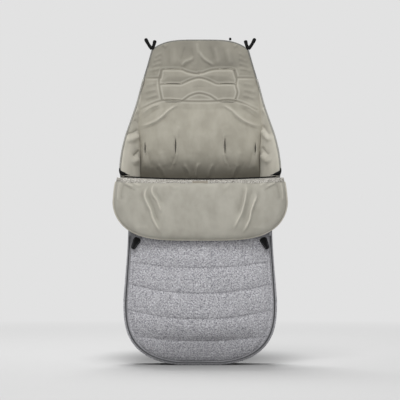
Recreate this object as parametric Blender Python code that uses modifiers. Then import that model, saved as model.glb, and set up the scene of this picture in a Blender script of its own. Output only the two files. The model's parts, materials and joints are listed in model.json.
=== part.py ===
"""A stroller footmuff: a padded bag that stands on its foot end, with the top of its apron folded down as a cuff.

Metres, +Z up, the opening to the front (-Y). The origin lies under the middle of the bag, on the floor.
"""

import math

import bmesh
import bpy
import numpy as np
from mathutils import Vector
from mathutils.bvhtree import BVHTree

# Whole bag
CROWN_CORNER_Z = 0.945  # where the side turns into the top edge
CROWN_RISE = 0.028  # of the middle of the top edge over its ends
CROWN_Z = CROWN_CORNER_Z + CROWN_RISE
DEPTH = 0.190  # from the back cloth to the front of the cuff
REAR_Y = DEPTH / 2
GAP = 0.0003  # between neighbouring pieces
OVERRUN = 0.02  # how far a cutter reaches past what it cuts

# Side line of the bag, seen from the front
FOOT_ROUND_Z = 0.190  # where the round of the foot ends
FOOT_HALF = 0.228
FOOT_FLAT = 0.0018  # depth of the flat that the foot stands on
FOOT_ACROSS_POWER = 2.7
FOOT_UP_POWER = 2.9
ZIP_TOP_Z = 0.402  # top of the closed side zips
WAIST_HALF = 0.2145  # half width at the top of the closed zips
CREST_Z = 0.556  # fold of the apron
CREST_HALF = 0.2365
WING_HALF = 0.2394  # widest half width of the wings
WING_TOP_DROP = 0.100  # from the crown's corner to where the wings run into the back
WING_TOP_Z = CROWN_CORNER_Z - WING_TOP_DROP
WING_TOP_HALF = 0.174
CROWN_TAPER = 0.028  # how far each side comes in from there to the crown's corner
CORNER_HALF = WING_TOP_HALF - CROWN_TAPER
WING_HEIGHT_SHARES = (0.10, 0.24, 0.42, 0.58, 0.76)  # heights on the wing, from the crest to its top
WING_FALL_SHARES = (0.0, 0.06, 0.23, 0.46, 0.72)  # how far the side line has come in at those heights

# Back panel
BACK_FOOT_INSET = 0.013  # from the side line to the back seam at the foot
BACK_SEAT_HALF = 0.181  # half width of the seat between the wings
BACK_NECK_HALF = 0.176
CLOTH = 0.0016  # thickness of the melange cloth
VELOUR = 0.0018  # thickness of the lining
SEAM_PAD = 0.0045  # padding at a quilting seam
HEAD_PAD = 0.014  # padding in the channels behind the head
SEAT_PAD = 0.027  # padding of the seat
FOOT_PAD = 0.012  # padding inside the foot
MOUTH_RISE = 0.060  # height above the crest over which the seat's padding thickens
EDGE_PAD = 0.0035  # padding at the side edges
SEAM_FLAT = 0.0062  # flat half width beside a seam that carries a slot
SEAT_COLUMNS = 16
SEAT_ROWS = 6  # between the foot and the crest, and again between the crest and the head
CHANNEL_ROWS = 3  # in each channel of the head
SHELL_COLUMNS = 10
SHELL_ROWS = 8
SMOOTH_ANGLE = math.radians(40)  # edges sharper than this are shaded hard

# Shape of the back's padding
SEAM_REACH_SHARE = 0.33  # half width of the bend in a head seam, as a share of the panel's
SEAM_BEND_POWER = 1.5
SEAM_FALL_SHARE = 0.70  # from here to the side the seams fall
CHANNEL_POWER = 0.7
SEAT_POWER = 0.8
SEAT_EDGE_POWER = 5
CROWN_POWER = 4

# Quilting seams of the head, height beside the slots and rise at the middle
HEAD_SEAM_1_DROP = 0.0624  # from the crown's corner to the head's upper seam
HEAD_SEAM_2_DROP = 0.1060
HEAD_SEAM_3_DROP = 0.1554
HEAD_SEAM_1_Z = CROWN_CORNER_Z - HEAD_SEAM_1_DROP
HEAD_SEAM_2_Z = CROWN_CORNER_Z - HEAD_SEAM_2_DROP
HEAD_SEAM_3_Z = CROWN_CORNER_Z - HEAD_SEAM_3_DROP
HEAD_SEAM_1_RISE = -0.012
HEAD_SEAM_2_RISE = 0.014
HEAD_SEAM_3_RISE = 0.021
HEAD_SEAM_3_FALL = 0.024  # fall of the lowest seam towards the sides

# Harness slots
SLOT_WIDTH = 0.0060
SEAM_GAP = SLOT_WIDTH / 2 + GAP  # half of the strip along a head seam that holds no padding
SLOT_LENGTH = 0.0520
OUTER_SLOT_LENGTH = 0.0360
SHOULDER_SLOT_X = 0.0815
SEAT_SLOT_X = 0.0750
SEAT_SLOT_SHARE = 0.4024  # height of the seat slots between the crest and the head, as a share
SEAT_SLOT_Z = CREST_Z + (HEAD_SEAM_3_Z - CREST_Z) * SEAT_SLOT_SHARE
OUTER_SLOT_INSET = 0.0170  # from the edge of the seat to the middle of the lap slot
OUTER_SLOT_X = BACK_SEAT_HALF - OUTER_SLOT_INSET
OUTER_SLOT_SHARE = 0.3767
OUTER_SLOT_Z = CREST_Z + (HEAD_SEAM_3_Z - CREST_Z) * OUTER_SLOT_SHARE
BINDING_RADIUS = 0.0011

# Gusset
GUSSET_CLOTH = 0.0020
GUSSET_LINING = 0.0020
GUSSET = GUSSET_CLOTH + GAP + GUSSET_LINING
SEAM_CLEARANCE = 0.0013  # from the back's padding to the gusset sewn round it
ZIP_Y = -0.012  # front edge of the gusset along the zips
WING_TOP_Y = 0.078  # front edge of the wings where they end
GUSSET_FRONT_INSET = 0.0035
REAR_ROUND_SHARE = 0.22
FRONT_ROUND_SHARE = 0.15
ROUND_POWER = 1.6
GUSSET_LOW_ROWS = 4  # beside the closed zips
GUSSET_HIGH_ROWS = 10  # along the wings
FOOT_STEPS = 20

# Zip
ZIP_INSET = 0.0075  # from the side line to the middle of the chain
TAPE_WIDTH = 0.0092
TAPE = 0.0008
ZIP_STAND = 0.0014  # from the gusset's front edge to the tape
CHAIN_RADIUS = 0.0022
FOOT_ZIP_STEPS = 24

# Apron
APRON_INSET = 0.0110
APRON_TOP_Z = 0.5535
APRON_BULGE = 0.0370
APRON_MARGIN = 0.0090
APRON_PAD = 0.0100
APRON_EDGE_PAD = 0.0022
APRON_PUFF = 0.0045
APRON_SLACK = 0.0006  # between the quilting seams and the padding behind them
APRON_COLUMNS = 16
APRON_SHELL_STEPS = 3  # rows to a channel
APRON_ACROSS_POWER = 2.4
APRON_UP_POWER = 2.2
APRON_PUFF_GAIN = 12  # how fast the quilting fills out from the sides
APRON_PAD_GAIN = 5
CREST_STEPS = 18
APRON_SEAM_ENDS = (0.0867, 0.1659, 0.2418, 0.3072, 0.3850, 0.4640)
APRON_SEAM_SAGS = (0.0138, 0.0276, 0.0276, 0.0174, 0.0150, 0.0110)

# Cuff
CUFF_LOW_Z = 0.3684
CUFF_SIDE_REACH = 0.0239  # how far it stands out past the crest's ends
CUFF_TOP_REACH = 0.0135
CUFF_HALF = CREST_HALF + CUFF_SIDE_REACH
CUFF_ROUND = 0.1166  # height of its rounded lower corners
CUFF_TOP_Z = 0.5575
CUFF_TOP_HALF = CREST_HALF + CUFF_TOP_REACH
CUFF_ACROSS_POWER = 4.0
CUFF_UP_POWER = 2.0
CUFF_BACK_MIDDLE = 0.0610  # how far its back lies in front of the middle plane, at its middle
CUFF_BACK_ENDS = 0.0330
CUFF_EDGE = 0.0100  # thickness at its edge
CUFF_FOLD_DEPTH = 0.0060
CUFF_FOLD_WIDTH = 0.0110
CUFF_SLACK = 0.0004  # between the padding and the cloth round it
CUFF_COLUMNS = 24
CUFF_ROWS = 12
CUFF_LINE_SHARE = 0.645  # place of the long fold at the crest, as a share of the half width
CUFF_LINE_DRIFT = 0.15  # how far it has moved to the middle at the hem
CUFF_FOLD_START = 6  # how fast the fold deepens below the crest
CUFF_FOLD_END_SHARES = (0.70, 0.25)  # where it starts to fade, and over how much of the height
CUFF_UP_ROUND = 2.8
CUFF_SIDE_ROUND = 5
HEM_SIDE_STEPS = 6
HEM_FOOT_STEPS = 14
HEM_RADIUS = 0.0020
CUFF_INSET = 0.0050  # from the outline of the cuff to its cloth, inside the hem

# Crest
CREST_BINDING_RADIUS = 0.0030
FOLD_CLOTH = 0.0014
CREST_FOLD_GAP = 0.0005  # from the fold's front edge to the back of the cuff
CREST_FOLD_DROP = 0.0030  # from the top edge of the cuff to the fold's front edge
CUFF_HINGE_SHARE = 0.5  # place of the cuff's fold line in the thickness of its top edge
FACING = 0.0010
FACING_CUT_SHARE = 0.04  # gap between the facing and the tab, as a share of one grid cell
FOLD_END_RADIUS = 0.0034
FOLD_END_LENGTH = 0.0270
FOLD_END_RISE = 0.0200
FOLD_END_IN_SHARES = (0.25, 0.60, 1.00)  # steps to the middle
FOLD_END_DOWN_SHARES = (0.50, 0.70, 0.80)  # and how far down each lies
FOLD_END_RADIUS_SHARES = (0.35, 0.90, 1.00, 0.70, 0.30)

# Piping
PIPING_RADIUS = 0.0026
PIPING_STEPS = 16
CORNER_STEPS = 5

# Slider and pull
SLIDER_Z = 0.3900
SLIDER_WIDTH = 0.0110
SLIDER_LENGTH = 0.0130
SLIDER_FRONT = 0.0075  # thickness from its back plate to its front plate
SLIDER_BORE_CLEARANCE = 0.0005
LUG_WIDTH = 0.0040
LUG_LENGTH = 0.0060
LUG_HEIGHT = 0.0050
LUG_BORE_RADIUS = 0.0013
LINK_RADIUS = 0.0008
LINK_HALF = 0.0040
LINK_REACH_X = 0.0210  # how far the link leans to the middle
LINK_REACH_Z = 0.0110
PULL_LENGTH = 0.0370
PULL_TOP_WIDTH = 0.0200
PULL_THICKNESS = 0.0026
PULL_STEP_SHARES = (0.0, 0.14, 0.40, 0.70, 0.90, 1.0)
PULL_WIDTH_SHARES = (0.42, 1.0, 0.93, 0.70, 0.50, 0.28)
METAL_ROUGHNESS = 0.4
METAL = 0.8
PULL_LEAN = math.radians(26)

# Ties
TIE_WIDTH = 0.0090
TIE = 0.0012
TIE_INNER_LENGTH = 0.033
TIE_OUTER_LENGTH = 0.0365
TIE_STEP_SHARES = (0.0, 0.35, 0.7, 0.92, 1.0)
TIE_END_SHARES = (1.0, 1.0, 1.0, 0.86, 0.5)
TIE_LEAN = 0.42  # sideways run for each length upward
LOOP_WIDTH = 0.0070
LOOP_LENGTH = 0.0080
LOOP_PLACE_SHARE = 0.636  # place of the loop's end across the top edge
LOOP_STEP_SHARES = (0.0, 0.5, 1.0)
LOOP_WIDTH_SHARES = (1.0, 1.0, 0.7)

COLOURS = {
    "melange": (0.40, 0.40, 0.41),
    "velour": (0.38, 0.36, 0.32),
    "wadding": (0.80, 0.80, 0.78),
    "piping": (0.25, 0.25, 0.24),
    "tape": (0.25, 0.25, 0.26),
    "zip": (0.06, 0.06, 0.07),
    "enamel": (0.19, 0.19, 0.20),
    "black": (0.01, 0.01, 0.01),
}

PARTS = "stroller_footmuff"
CUTTERS = "cutters"


def clear_scene():
    """Empty file with one collection for the parts and one for the cutters."""
    for thing in list(bpy.data.objects):
        bpy.data.objects.remove(thing, do_unlink=True)
    for name in (PARTS, CUTTERS):
        bpy.context.scene.collection.children.link(bpy.data.collections.new(name))


def finish_of(name, colour, roughness, metallic):
    """A new material for one part."""
    material = bpy.data.materials.new(name)
    material.use_nodes = True
    shader = material.node_tree.nodes["Principled BSDF"]
    shader.inputs["Base Color"].default_value = (*COLOURS[colour], 1)
    shader.inputs["Roughness"].default_value = roughness
    shader.inputs["Metallic"].default_value = metallic
    return material


def dress(part, colour, roughness=0.9, metallic=0.0):
    """Give a part its own material and smooth shading."""
    part.data.materials.append(finish_of(part.name, colour, roughness, metallic))
    if part.type == "MESH":
        part.data.shade_smooth()
        part.data.set_sharp_from_angle(angle=SMOOTH_ANGLE)
    return part


def place_in(thing, group):
    bpy.data.collections[group].objects.link(thing)
    return thing


def smooth(value):
    """0 to 1 with level ends."""
    value = min(max(value, 0.0), 1.0)
    return value * value * (3 - 2 * value)


def line_through(places, values):
    """A smooth line through the given values that doesn't overshoot them."""
    places = np.array(places, float)
    values = np.array(values, float)
    steps = np.diff(places)
    slopes = np.diff(values) / steps
    tangents = np.zeros(len(places))
    for i in range(1, len(places) - 1):
        if slopes[i - 1] * slopes[i] > 0:
            tangents[i] = 2 * slopes[i - 1] * slopes[i] / (slopes[i - 1] + slopes[i])
    tangents[0] = slopes[0]
    tangents[-1] = slopes[-1]

    def at(place):
        place = min(max(place, places[0]), places[-1])
        i = min(int(np.searchsorted(places, place, side="right")) - 1, len(steps) - 1)
        h = steps[i]
        f = (place - places[i]) / h
        start = (1 + 2 * f) * (1 - f) ** 2 * values[i] + f * (1 - f) ** 2 * h * tangents[i]
        end = f * f * (3 - 2 * f) * values[i + 1] + f * f * (f - 1) * h * tangents[i + 1]
        return float(start + end)

    return at


def side_line():
    """Half width of the bag's outermost line above the foot round."""
    wing = WING_TOP_Z - CREST_Z
    fall = WING_HALF - WING_TOP_HALF
    heights = [CREST_Z + wing * share for share in WING_HEIGHT_SHARES]
    halves = [WING_HALF - fall * share for share in WING_FALL_SHARES]
    return line_through(
        (FOOT_ROUND_Z, ZIP_TOP_Z, CREST_Z, *heights, WING_TOP_Z, CROWN_CORNER_Z),
        (FOOT_HALF, WAIST_HALF, CREST_HALF, *halves, WING_TOP_HALF, CORNER_HALF),
    )


def seat_line():
    """Half width of the back panel above the foot round, where the gusset is sewn to it."""
    outer = side_line()
    edge = 2 * PIPING_RADIUS + 2 * GAP
    heights = (
        FOOT_ROUND_Z,
        ZIP_TOP_Z,
        CREST_Z,
        (CREST_Z + HEAD_SEAM_3_Z) / 2,
        HEAD_SEAM_3_Z,
        WING_TOP_Z,
        (WING_TOP_Z + CROWN_CORNER_Z) / 2,
        CROWN_CORNER_Z,
    )
    halves = (
        FOOT_HALF - BACK_FOOT_INSET,
        (FOOT_HALF - BACK_FOOT_INSET + BACK_SEAT_HALF) / 2,
        BACK_SEAT_HALF,
        BACK_SEAT_HALF,
        BACK_NECK_HALF,
        WING_TOP_HALF - edge,
        outer((WING_TOP_Z + CROWN_CORNER_Z) / 2) - edge,
        CORNER_HALF - edge,
    )
    return line_through(heights, halves)


class Panel:
    """A flat outline seen from the front: straight or curved sides over a rounded foot, with a crowned top."""

    def __init__(self, side, low, round_z, top, powers, crown=0.0, inset=0.0, flat=0.0):
        self.side = side
        self.inset = inset
        self.low = low + inset
        self.round = round_z - self.low
        self.top = top
        self.crown = crown
        self.across, self.up = powers
        self.flat = flat
        self.round_half = side(round_z) - inset
        self.corner_x = self.round_half * 0.5 ** (1 / self.across)
        self.corner_z = self.foot(self.corner_x)

    def rise(self, share):
        """Height over the lowest point, for a share of the round's height, with the foot cut flat."""
        return max(0.0, share * self.round - self.flat) * self.round / (self.round - self.flat)

    def foot(self, x):
        share = 1 - max(0.0, 1 - (abs(x) / self.round_half) ** self.across) ** (1 / self.up)
        return self.low + self.rise(share)

    def half(self, z):
        if z >= self.low + self.round:
            return self.side(z) - self.inset
        share = (z - self.low) * (1 - self.flat / self.round) / self.round + self.flat / self.round
        return self.round_half * max(0.0, 1 - max(0.0, 1 - share) ** self.up) ** (1 / self.across)

    def place(self, s, z, fade_z, crown_from):
        """The point a share s across the row that meets the side at height z."""
        x = s * self.half(z)
        left = 1 - smooth((z - self.corner_z) / (fade_z - self.corner_z))
        drop = (self.corner_z - self.foot(abs(s) * self.corner_x)) * left
        lift = self.crown * (1 - abs(s) ** CROWN_POWER) * smooth((z - crown_from) / (self.top - crown_from))
        return x, z - drop + lift


def normals_of(points):
    """Unit normals of a grid of points, to the front for columns that run to +X and rows that run up."""
    across = points[:, 1:] - points[:, :-1]
    up = points[1:] - points[:-1]
    faces = np.cross(across[:-1] + across[1:], up[:, :-1] + up[:, 1:])
    faces /= np.linalg.norm(faces, axis=2, keepdims=True)
    normal = np.zeros(points.shape)
    normal[:-1, :-1] += faces
    normal[:-1, 1:] += faces
    normal[1:, :-1] += faces
    normal[1:, 1:] += faces
    return normal / np.linalg.norm(normal, axis=2, keepdims=True)


def lifted(points, height):
    return points + normals_of(points) * height


def spread(count, start=-1.0, end=1.0):
    return [start + (end - start) * i / count for i in range(count + 1)]


def grid_of(mesh, points):
    """Fill a bmesh with a grid whose corners lie at the given points."""
    rows, columns = points.shape[0] - 1, points.shape[1] - 1
    made = bmesh.ops.create_grid(mesh, x_segments=columns, y_segments=rows, size=1)
    grid = {}
    for vert in made["verts"]:
        column = round((vert.co.x + 1) / 2 * columns)
        row = round((vert.co.y + 1) / 2 * rows)
        vert.co = Vector(points[row, column])
        grid[row, column] = vert
    return grid, rows, columns


def mesh_part(name, fill, group=PARTS):
    """A new mesh object whose bmesh the given function fills."""
    mesh = bmesh.new()
    fill(mesh)
    data = bpy.data.meshes.new(name)
    mesh.to_mesh(data)
    mesh.free()
    return place_in(bpy.data.objects.new(name, data), group)


def cloth(name, outer, thickness, colour):
    """A cloth whose outer face follows the points, thickened away from it."""
    part = mesh_part(name, lambda mesh: grid_of(mesh, outer))
    wall = part.modifiers.new("cloth", "SOLIDIFY")
    wall.thickness = thickness
    wall.offset = -1
    return dress(part, colour)


def rim_cells(rows, columns):
    """The cells round the edge of a grid, in order."""
    low = [(0, c) for c in range(columns)]
    right = [(r, columns) for r in range(rows)]
    high = [(rows, c) for c in range(columns, 0, -1)]
    left = [(r, 0) for r in range(rows, 0, -1)]
    return low + right + high + left


def wadding(name, front, back):
    """A pad that fills the space between two surfaces with the same number of points."""

    def fill(mesh):
        face, rows, columns = grid_of(mesh, front)
        rear, rows, columns = grid_of(mesh, back)
        behind = set(rear.values())
        rear_faces = [f for f in mesh.faces if f.verts[0] in behind]
        bmesh.ops.reverse_faces(mesh, faces=rear_faces)
        rim = rim_cells(rows, columns)
        for here, there in zip(rim, rim[1:] + rim[:1]):
            mesh.faces.new((face[there], face[here], rear[here], rear[there]))

    return dress(mesh_part(name, fill), "wadding")


def tube(name, points, radius, colour, cyclic=False, resolution=1, metallic=0.0, roughness=0.7):
    """A round cord along the points."""
    data = bpy.data.curves.new(name, "CURVE")
    data.dimensions = "3D"
    data.bevel_depth = radius
    data.bevel_resolution = resolution
    data.use_fill_caps = True
    spline = data.splines.new("POLY")
    spline.points.add(len(points) - 1)
    for point, place in zip(spline.points, points):
        point.co = (*place, 1)
    spline.use_cyclic_u = cyclic
    part = place_in(bpy.data.objects.new(name, data), PARTS)
    return dress(part, colour, roughness, metallic)


def strap(name, path, widths, thickness, colour, face=(0, -1, 0)):
    """A flat strip along a path, with a width at each point, its face turned to the given side."""
    path = np.array(path, float)
    along = np.gradient(path, axis=0)
    side = np.cross(along, np.array(face, float))
    side /= np.linalg.norm(side, axis=1, keepdims=True)
    half = np.array(widths, float)[:, None] / 2
    points = np.stack([path + side * half, path, path - side * half], axis=1)
    across = np.cross(points[0, 2] - points[0, 0], along[0])
    if np.dot(across, face) < 0:
        points = points[:, ::-1]
    return cloth(name, points, thickness, colour)


def foot_point(angle, inset):
    """A point on the foot round, this far inside the side line, from -90 degrees at the left to 90 at the right."""
    half = FOOT_HALF - inset
    height = FOOT_ROUND_Z - inset
    x = math.copysign(half * abs(math.sin(angle)) ** (2 / FOOT_ACROSS_POWER), angle)
    share = 1 - abs(math.cos(angle)) ** (2 / FOOT_UP_POWER)
    rise = max(0.0, share * height - FOOT_FLAT) * height / (height - FOOT_FLAT)
    return x, inset + rise


def gusset_front_y(z):
    """Depth of the gusset's front edge at this height."""
    share = smooth((z - CREST_Z) / (WING_TOP_Z - CREST_Z))
    return ZIP_Y + (WING_TOP_Y - ZIP_Y) * share


def gusset_rear_y():
    return REAR_Y - 2 * CLOTH


def gusset_shares():
    """Steps across the gusset, closer together where its edges are rounded."""
    front = 1 - FRONT_ROUND_SHARE
    return (0.0, REAR_ROUND_SHARE / 3, REAR_ROUND_SHARE, 0.5, front, (1 + front) / 2, 1.0)


def boxed_inset(v, rear):
    """How far the gusset lies inside the side line, where it is a flat wall with rounded edges."""
    back = max(0.0, 1 - v / REAR_ROUND_SHARE) ** ROUND_POWER
    front = max(0.0, (v - 1) / FRONT_ROUND_SHARE + 1) ** ROUND_POWER
    return rear * back + GUSSET_FRONT_INSET * front


def gusset_inner_x(z, v):
    """Half width of the gusset's inner face at this height, v from its back seam to its front edge."""
    outer = side_line()(z) - GUSSET
    seam = seat_line()(z) + SEAM_CLEARANCE
    rear = outer - seam
    flare = smooth((z - (FOOT_ROUND_Z + ZIP_TOP_Z) / 2) / (CREST_Z - (FOOT_ROUND_Z + ZIP_TOP_Z) / 2))
    return outer - (1 - flare) * boxed_inset(v, rear) - flare * rear * (1 - v)


def side_gusset_points(sign):
    """Inner face of the side gusset, with normals that point out of the bag."""
    rows = spread(GUSSET_LOW_ROWS, FOOT_ROUND_Z + GAP, ZIP_TOP_Z)
    rows += spread(GUSSET_HIGH_ROWS, ZIP_TOP_Z, WING_TOP_Z)[1:]
    points = []
    for z in rows:
        row = []
        for v in gusset_shares():
            y = gusset_rear_y() + (gusset_front_y(z) - gusset_rear_y()) * v
            row.append((sign * gusset_inner_x(z, v), y, z))
        points.append(row if sign < 0 else row[::-1])
    points = np.array(points)
    return points[:, ::-1]


def foot_gusset_points():
    """Inner face of the foot gusset, with normals that point down and out."""
    end = math.pi / 2
    points = []
    for v in gusset_shares():
        inset = GUSSET + boxed_inset(v, BACK_FOOT_INSET - GUSSET - SEAM_CLEARANCE)
        y = gusset_rear_y() + (ZIP_Y - gusset_rear_y()) * v
        round_foot = [foot_point(a, inset) for a in spread(FOOT_STEPS, -end, end)]
        points.append([(x, y, z) for x, z in round_foot])
    return np.array(points)


def outward(points, reference):
    """The same grid, turned so that its normals point away from the reference point."""
    middle = points.reshape(-1, 3).mean(axis=0)
    normal = normals_of(points).reshape(-1, 3).mean(axis=0)
    if np.dot(normal, middle - np.array(reference)) < 0:
        return points[:, ::-1]
    return points


def make_gussets():
    inside = (0, (REAR_Y + ZIP_Y) / 2, (CREST_Z + FOOT_ROUND_Z) / 2)
    for side, sign in (("left", -1), ("right", 1)):
        inner = outward(side_gusset_points(sign), inside)
        cloth(f"{side}_gusset_lining", lifted(inner, GUSSET_LINING), GUSSET_LINING, "velour")
        cloth(f"{side}_gusset_shell", lifted(inner, GUSSET), GUSSET_CLOTH, "melange")
    inner = outward(foot_gusset_points(), inside)
    cloth("foot_gusset_lining", lifted(inner, GUSSET_LINING), GUSSET_LINING, "velour")
    cloth("foot_gusset_shell", lifted(inner, GUSSET), GUSSET_CLOTH, "melange")


# Back panel


def back_panel():
    powers = (FOOT_ACROSS_POWER, FOOT_UP_POWER)
    edge = 2 * PIPING_RADIUS + 2 * GAP
    crown = CROWN_Z - CROWN_CORNER_Z
    side = seat_line()
    base = Panel(side, BACK_FOOT_INSET, FOOT_ROUND_Z, CROWN_CORNER_Z - edge, powers, crown, 0.0, FOOT_FLAT)
    return base


HEAD_SEAMS = (HEAD_SEAM_3_Z, HEAD_SEAM_2_Z, HEAD_SEAM_1_Z)
BAND_NAMES = ("seat_wadding", "lower_channel_wadding", "upper_channel_wadding", "crown_wadding")


def back_bands(panel):
    """Heights of the grid rows of the seat and of each channel of the head, parted by the seams' flat strips."""
    low = panel.corner_z
    bend = CREST_Z + MOUTH_RISE
    seat = spread(SEAT_ROWS, low, CREST_Z) + spread(SEAT_ROWS // 3, CREST_Z, bend)[1:]
    seat += spread(SEAT_ROWS - SEAT_ROWS // 3, bend, HEAD_SEAM_3_Z - SEAM_FLAT)[1:]
    bands = [seat + [HEAD_SEAM_3_Z - SEAM_GAP]]
    for here, there in zip(HEAD_SEAMS, HEAD_SEAMS[1:]):
        channel = spread(CHANNEL_ROWS, here + SEAM_FLAT, there - SEAM_FLAT)
        bands.append([here + SEAM_GAP] + channel + [there - SEAM_GAP])
    crown = spread(CHANNEL_ROWS, HEAD_SEAM_1_Z + SEAM_FLAT, panel.top - SEAM_FLAT)
    return bands + [[HEAD_SEAM_1_Z + SEAM_GAP] + crown + [panel.top]]


def seam_shift(s, z):
    """How far a row is moved off its height, so that the seams bend at the middle and fall at the sides."""
    rises = line_through(
        (CREST_Z, (CREST_Z + HEAD_SEAM_3_Z) / 2, *HEAD_SEAMS, CROWN_CORNER_Z),
        (0, 0, HEAD_SEAM_3_RISE, HEAD_SEAM_2_RISE, HEAD_SEAM_1_RISE, 0),
    )
    falls = line_through((CREST_Z, HEAD_SEAM_3_Z, HEAD_SEAM_2_Z, CROWN_CORNER_Z), (0, HEAD_SEAM_3_FALL, 0, 0))
    middle = max(0.0, 1 - (s / SEAM_REACH_SHARE) ** 2) ** SEAM_BEND_POWER
    return rises(z) * middle - falls(z) * smooth((abs(s) - SEAM_FALL_SHARE) / (1 - SEAM_FALL_SHARE))


def channel_share(z, seams, flat):
    """0 at a seam and beside it, 1 at the middle of a channel."""
    for low, high in zip(seams, seams[1:]):
        if low <= z <= high:
            share = (z - low - flat) / max(high - low - 2 * flat, GAP)
            return math.sin(math.pi * min(max(share, 0.0), 1.0)) ** CHANNEL_POWER
    return 0.0


def seat_padding(s, z):
    """Thickness of the padding, with the sides drawn in."""
    if z >= HEAD_SEAM_3_Z - SEAM_FLAT:
        share = channel_share(z, HEAD_SEAMS + (CROWN_CORNER_Z,), SEAM_FLAT)
        full = SEAM_PAD + (HEAD_PAD - SEAM_PAD) * share
    else:
        depth = min((HEAD_SEAM_3_Z - SEAM_FLAT - z) / (HEAD_SEAM_3_Z - CREST_Z) * 2, 1)
        seat = SEAM_PAD + (SEAT_PAD - SEAM_PAD) * math.sin(math.pi / 2 * depth) ** SEAT_POWER
        mouth = FOOT_PAD + (SEAT_PAD - FOOT_PAD) * smooth((z - CREST_Z) / MOUTH_RISE)
        full = min(seat, mouth)
    return EDGE_PAD + (full - EDGE_PAD) * math.sqrt(max(0.0, 1 - abs(s) ** SEAT_EDGE_POWER))


def seat_points(surface, rows, columns):
    """Points of one layer of the back, whose depth the given function works out."""
    panel = back_panel()
    points = []
    for z in rows:
        row = []
        for s in spread(columns):
            x, height = panel.place(s, z, FOOT_ROUND_Z, HEAD_SEAM_1_Z)
            row.append((x, surface(s, z), height + seam_shift(s, z)))
        points.append(row)
    return np.array(points)


def lining_y(s, z):
    return REAR_Y - CLOTH - GAP - seat_padding(s, z) - GAP - VELOUR


def make_back():
    panel = back_panel()
    bands = back_bands(panel)
    rows = [z for band in bands for z in band]
    flat_rows = spread(SHELL_ROWS // 2, panel.corner_z, FOOT_ROUND_Z)
    flat_rows += spread(SHELL_ROWS, FOOT_ROUND_Z, panel.top)[1:]
    front = seat_points(lining_y, rows, SEAT_COLUMNS)
    flat = seat_points(lambda s, z: REAR_Y - CLOTH, flat_rows, SHELL_COLUMNS)
    shell = cloth("back_shell", flat, CLOTH, "melange")
    lining = cloth("seat_lining", front, VELOUR, "velour")
    behind = seat_points(lambda s, z: REAR_Y - CLOTH - GAP, rows, SEAT_COLUMNS)
    covered = lifted(front, -VELOUR - GAP)
    pads = []
    start = 0
    for name, band in zip(BAND_NAMES, bands):
        end = start + len(band)
        pads.append(wadding(name, covered[start:end], behind[start:end]))
        start = end
    cutter = slot_cutter()
    for part in (shell, lining, pads[0]):
        cut = part.modifiers.new("harness slots", "BOOLEAN")
        cut.operation = "DIFFERENCE"
        cut.object = cutter
    return lining


def harness_slots():
    """Name, middle, width and height of each slot."""
    slots = []
    for side, sign in (("left", -1), ("right", 1)):
        for name, z in (("lower", HEAD_SEAM_3_Z), ("middle", HEAD_SEAM_2_Z), ("upper", HEAD_SEAM_1_Z)):
            slots.append((f"{side}_{name}_shoulder", sign * SHOULDER_SLOT_X, z, SLOT_LENGTH, SLOT_WIDTH))
        slots.append((f"{side}_seat", sign * SEAT_SLOT_X, SEAT_SLOT_Z, SLOT_WIDTH, SLOT_LENGTH))
        slots.append((f"{side}_lap", sign * OUTER_SLOT_X, OUTER_SLOT_Z, SLOT_WIDTH, OUTER_SLOT_LENGTH))
    return slots


def box(mesh, middle, size):
    made = bmesh.ops.create_cube(mesh, size=1)
    for vert in made["verts"]:
        vert.co = Vector(middle) + Vector([c * d for c, d in zip(vert.co, size)])
    return made["verts"]


def slot_cutter():
    """All slots in one cutter, long enough to pass through the padding."""

    def fill(mesh):
        depth = SEAT_PAD + 2 * OVERRUN
        for _, x, z, width, height in harness_slots():
            box(mesh, (x, REAR_Y - SEAT_PAD / 2, z), (width, depth, height))

    cutter = mesh_part("slot_cutter", fill, CUTTERS)
    cutter.hide_render = True
    cutter.display_type = "WIRE"
    return cutter


def make_slot_bindings(lining):
    """A sewn edge round each slot, lying on the lining."""
    bpy.context.view_layer.update()
    graph = bpy.context.evaluated_depsgraph_get()
    tree = BVHTree.FromObject(lining, graph)
    reach = BINDING_RADIUS + GAP
    for name, x, z, width, height in harness_slots():
        points = []
        for across, up in rounded_ring(width / 2 + reach, height / 2 + reach, reach):
            start = Vector((x + across, -DEPTH, z + up))
            hit = tree.ray_cast(start, Vector((0, 1, 0)))[0]
            points.append((start.x, hit.y - reach - GAP, start.z))
        tube(f"{name}_slot_binding", points, BINDING_RADIUS, "velour", cyclic=True, resolution=0)


def rounded_ring(half_width, half_height, radius):
    """Corner points of a small ring with cut corners, and one point halfway along each side."""
    cut = radius
    return (
        (-half_width + cut, -half_height),
        (0.0, -half_height),
        (half_width - cut, -half_height),
        (half_width, -half_height + cut),
        (half_width, 0.0),
        (half_width, half_height - cut),
        (half_width - cut, half_height),
        (0.0, half_height),
        (-half_width + cut, half_height),
        (-half_width, half_height - cut),
        (-half_width, 0.0),
        (-half_width, -half_height + cut),
    )


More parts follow.
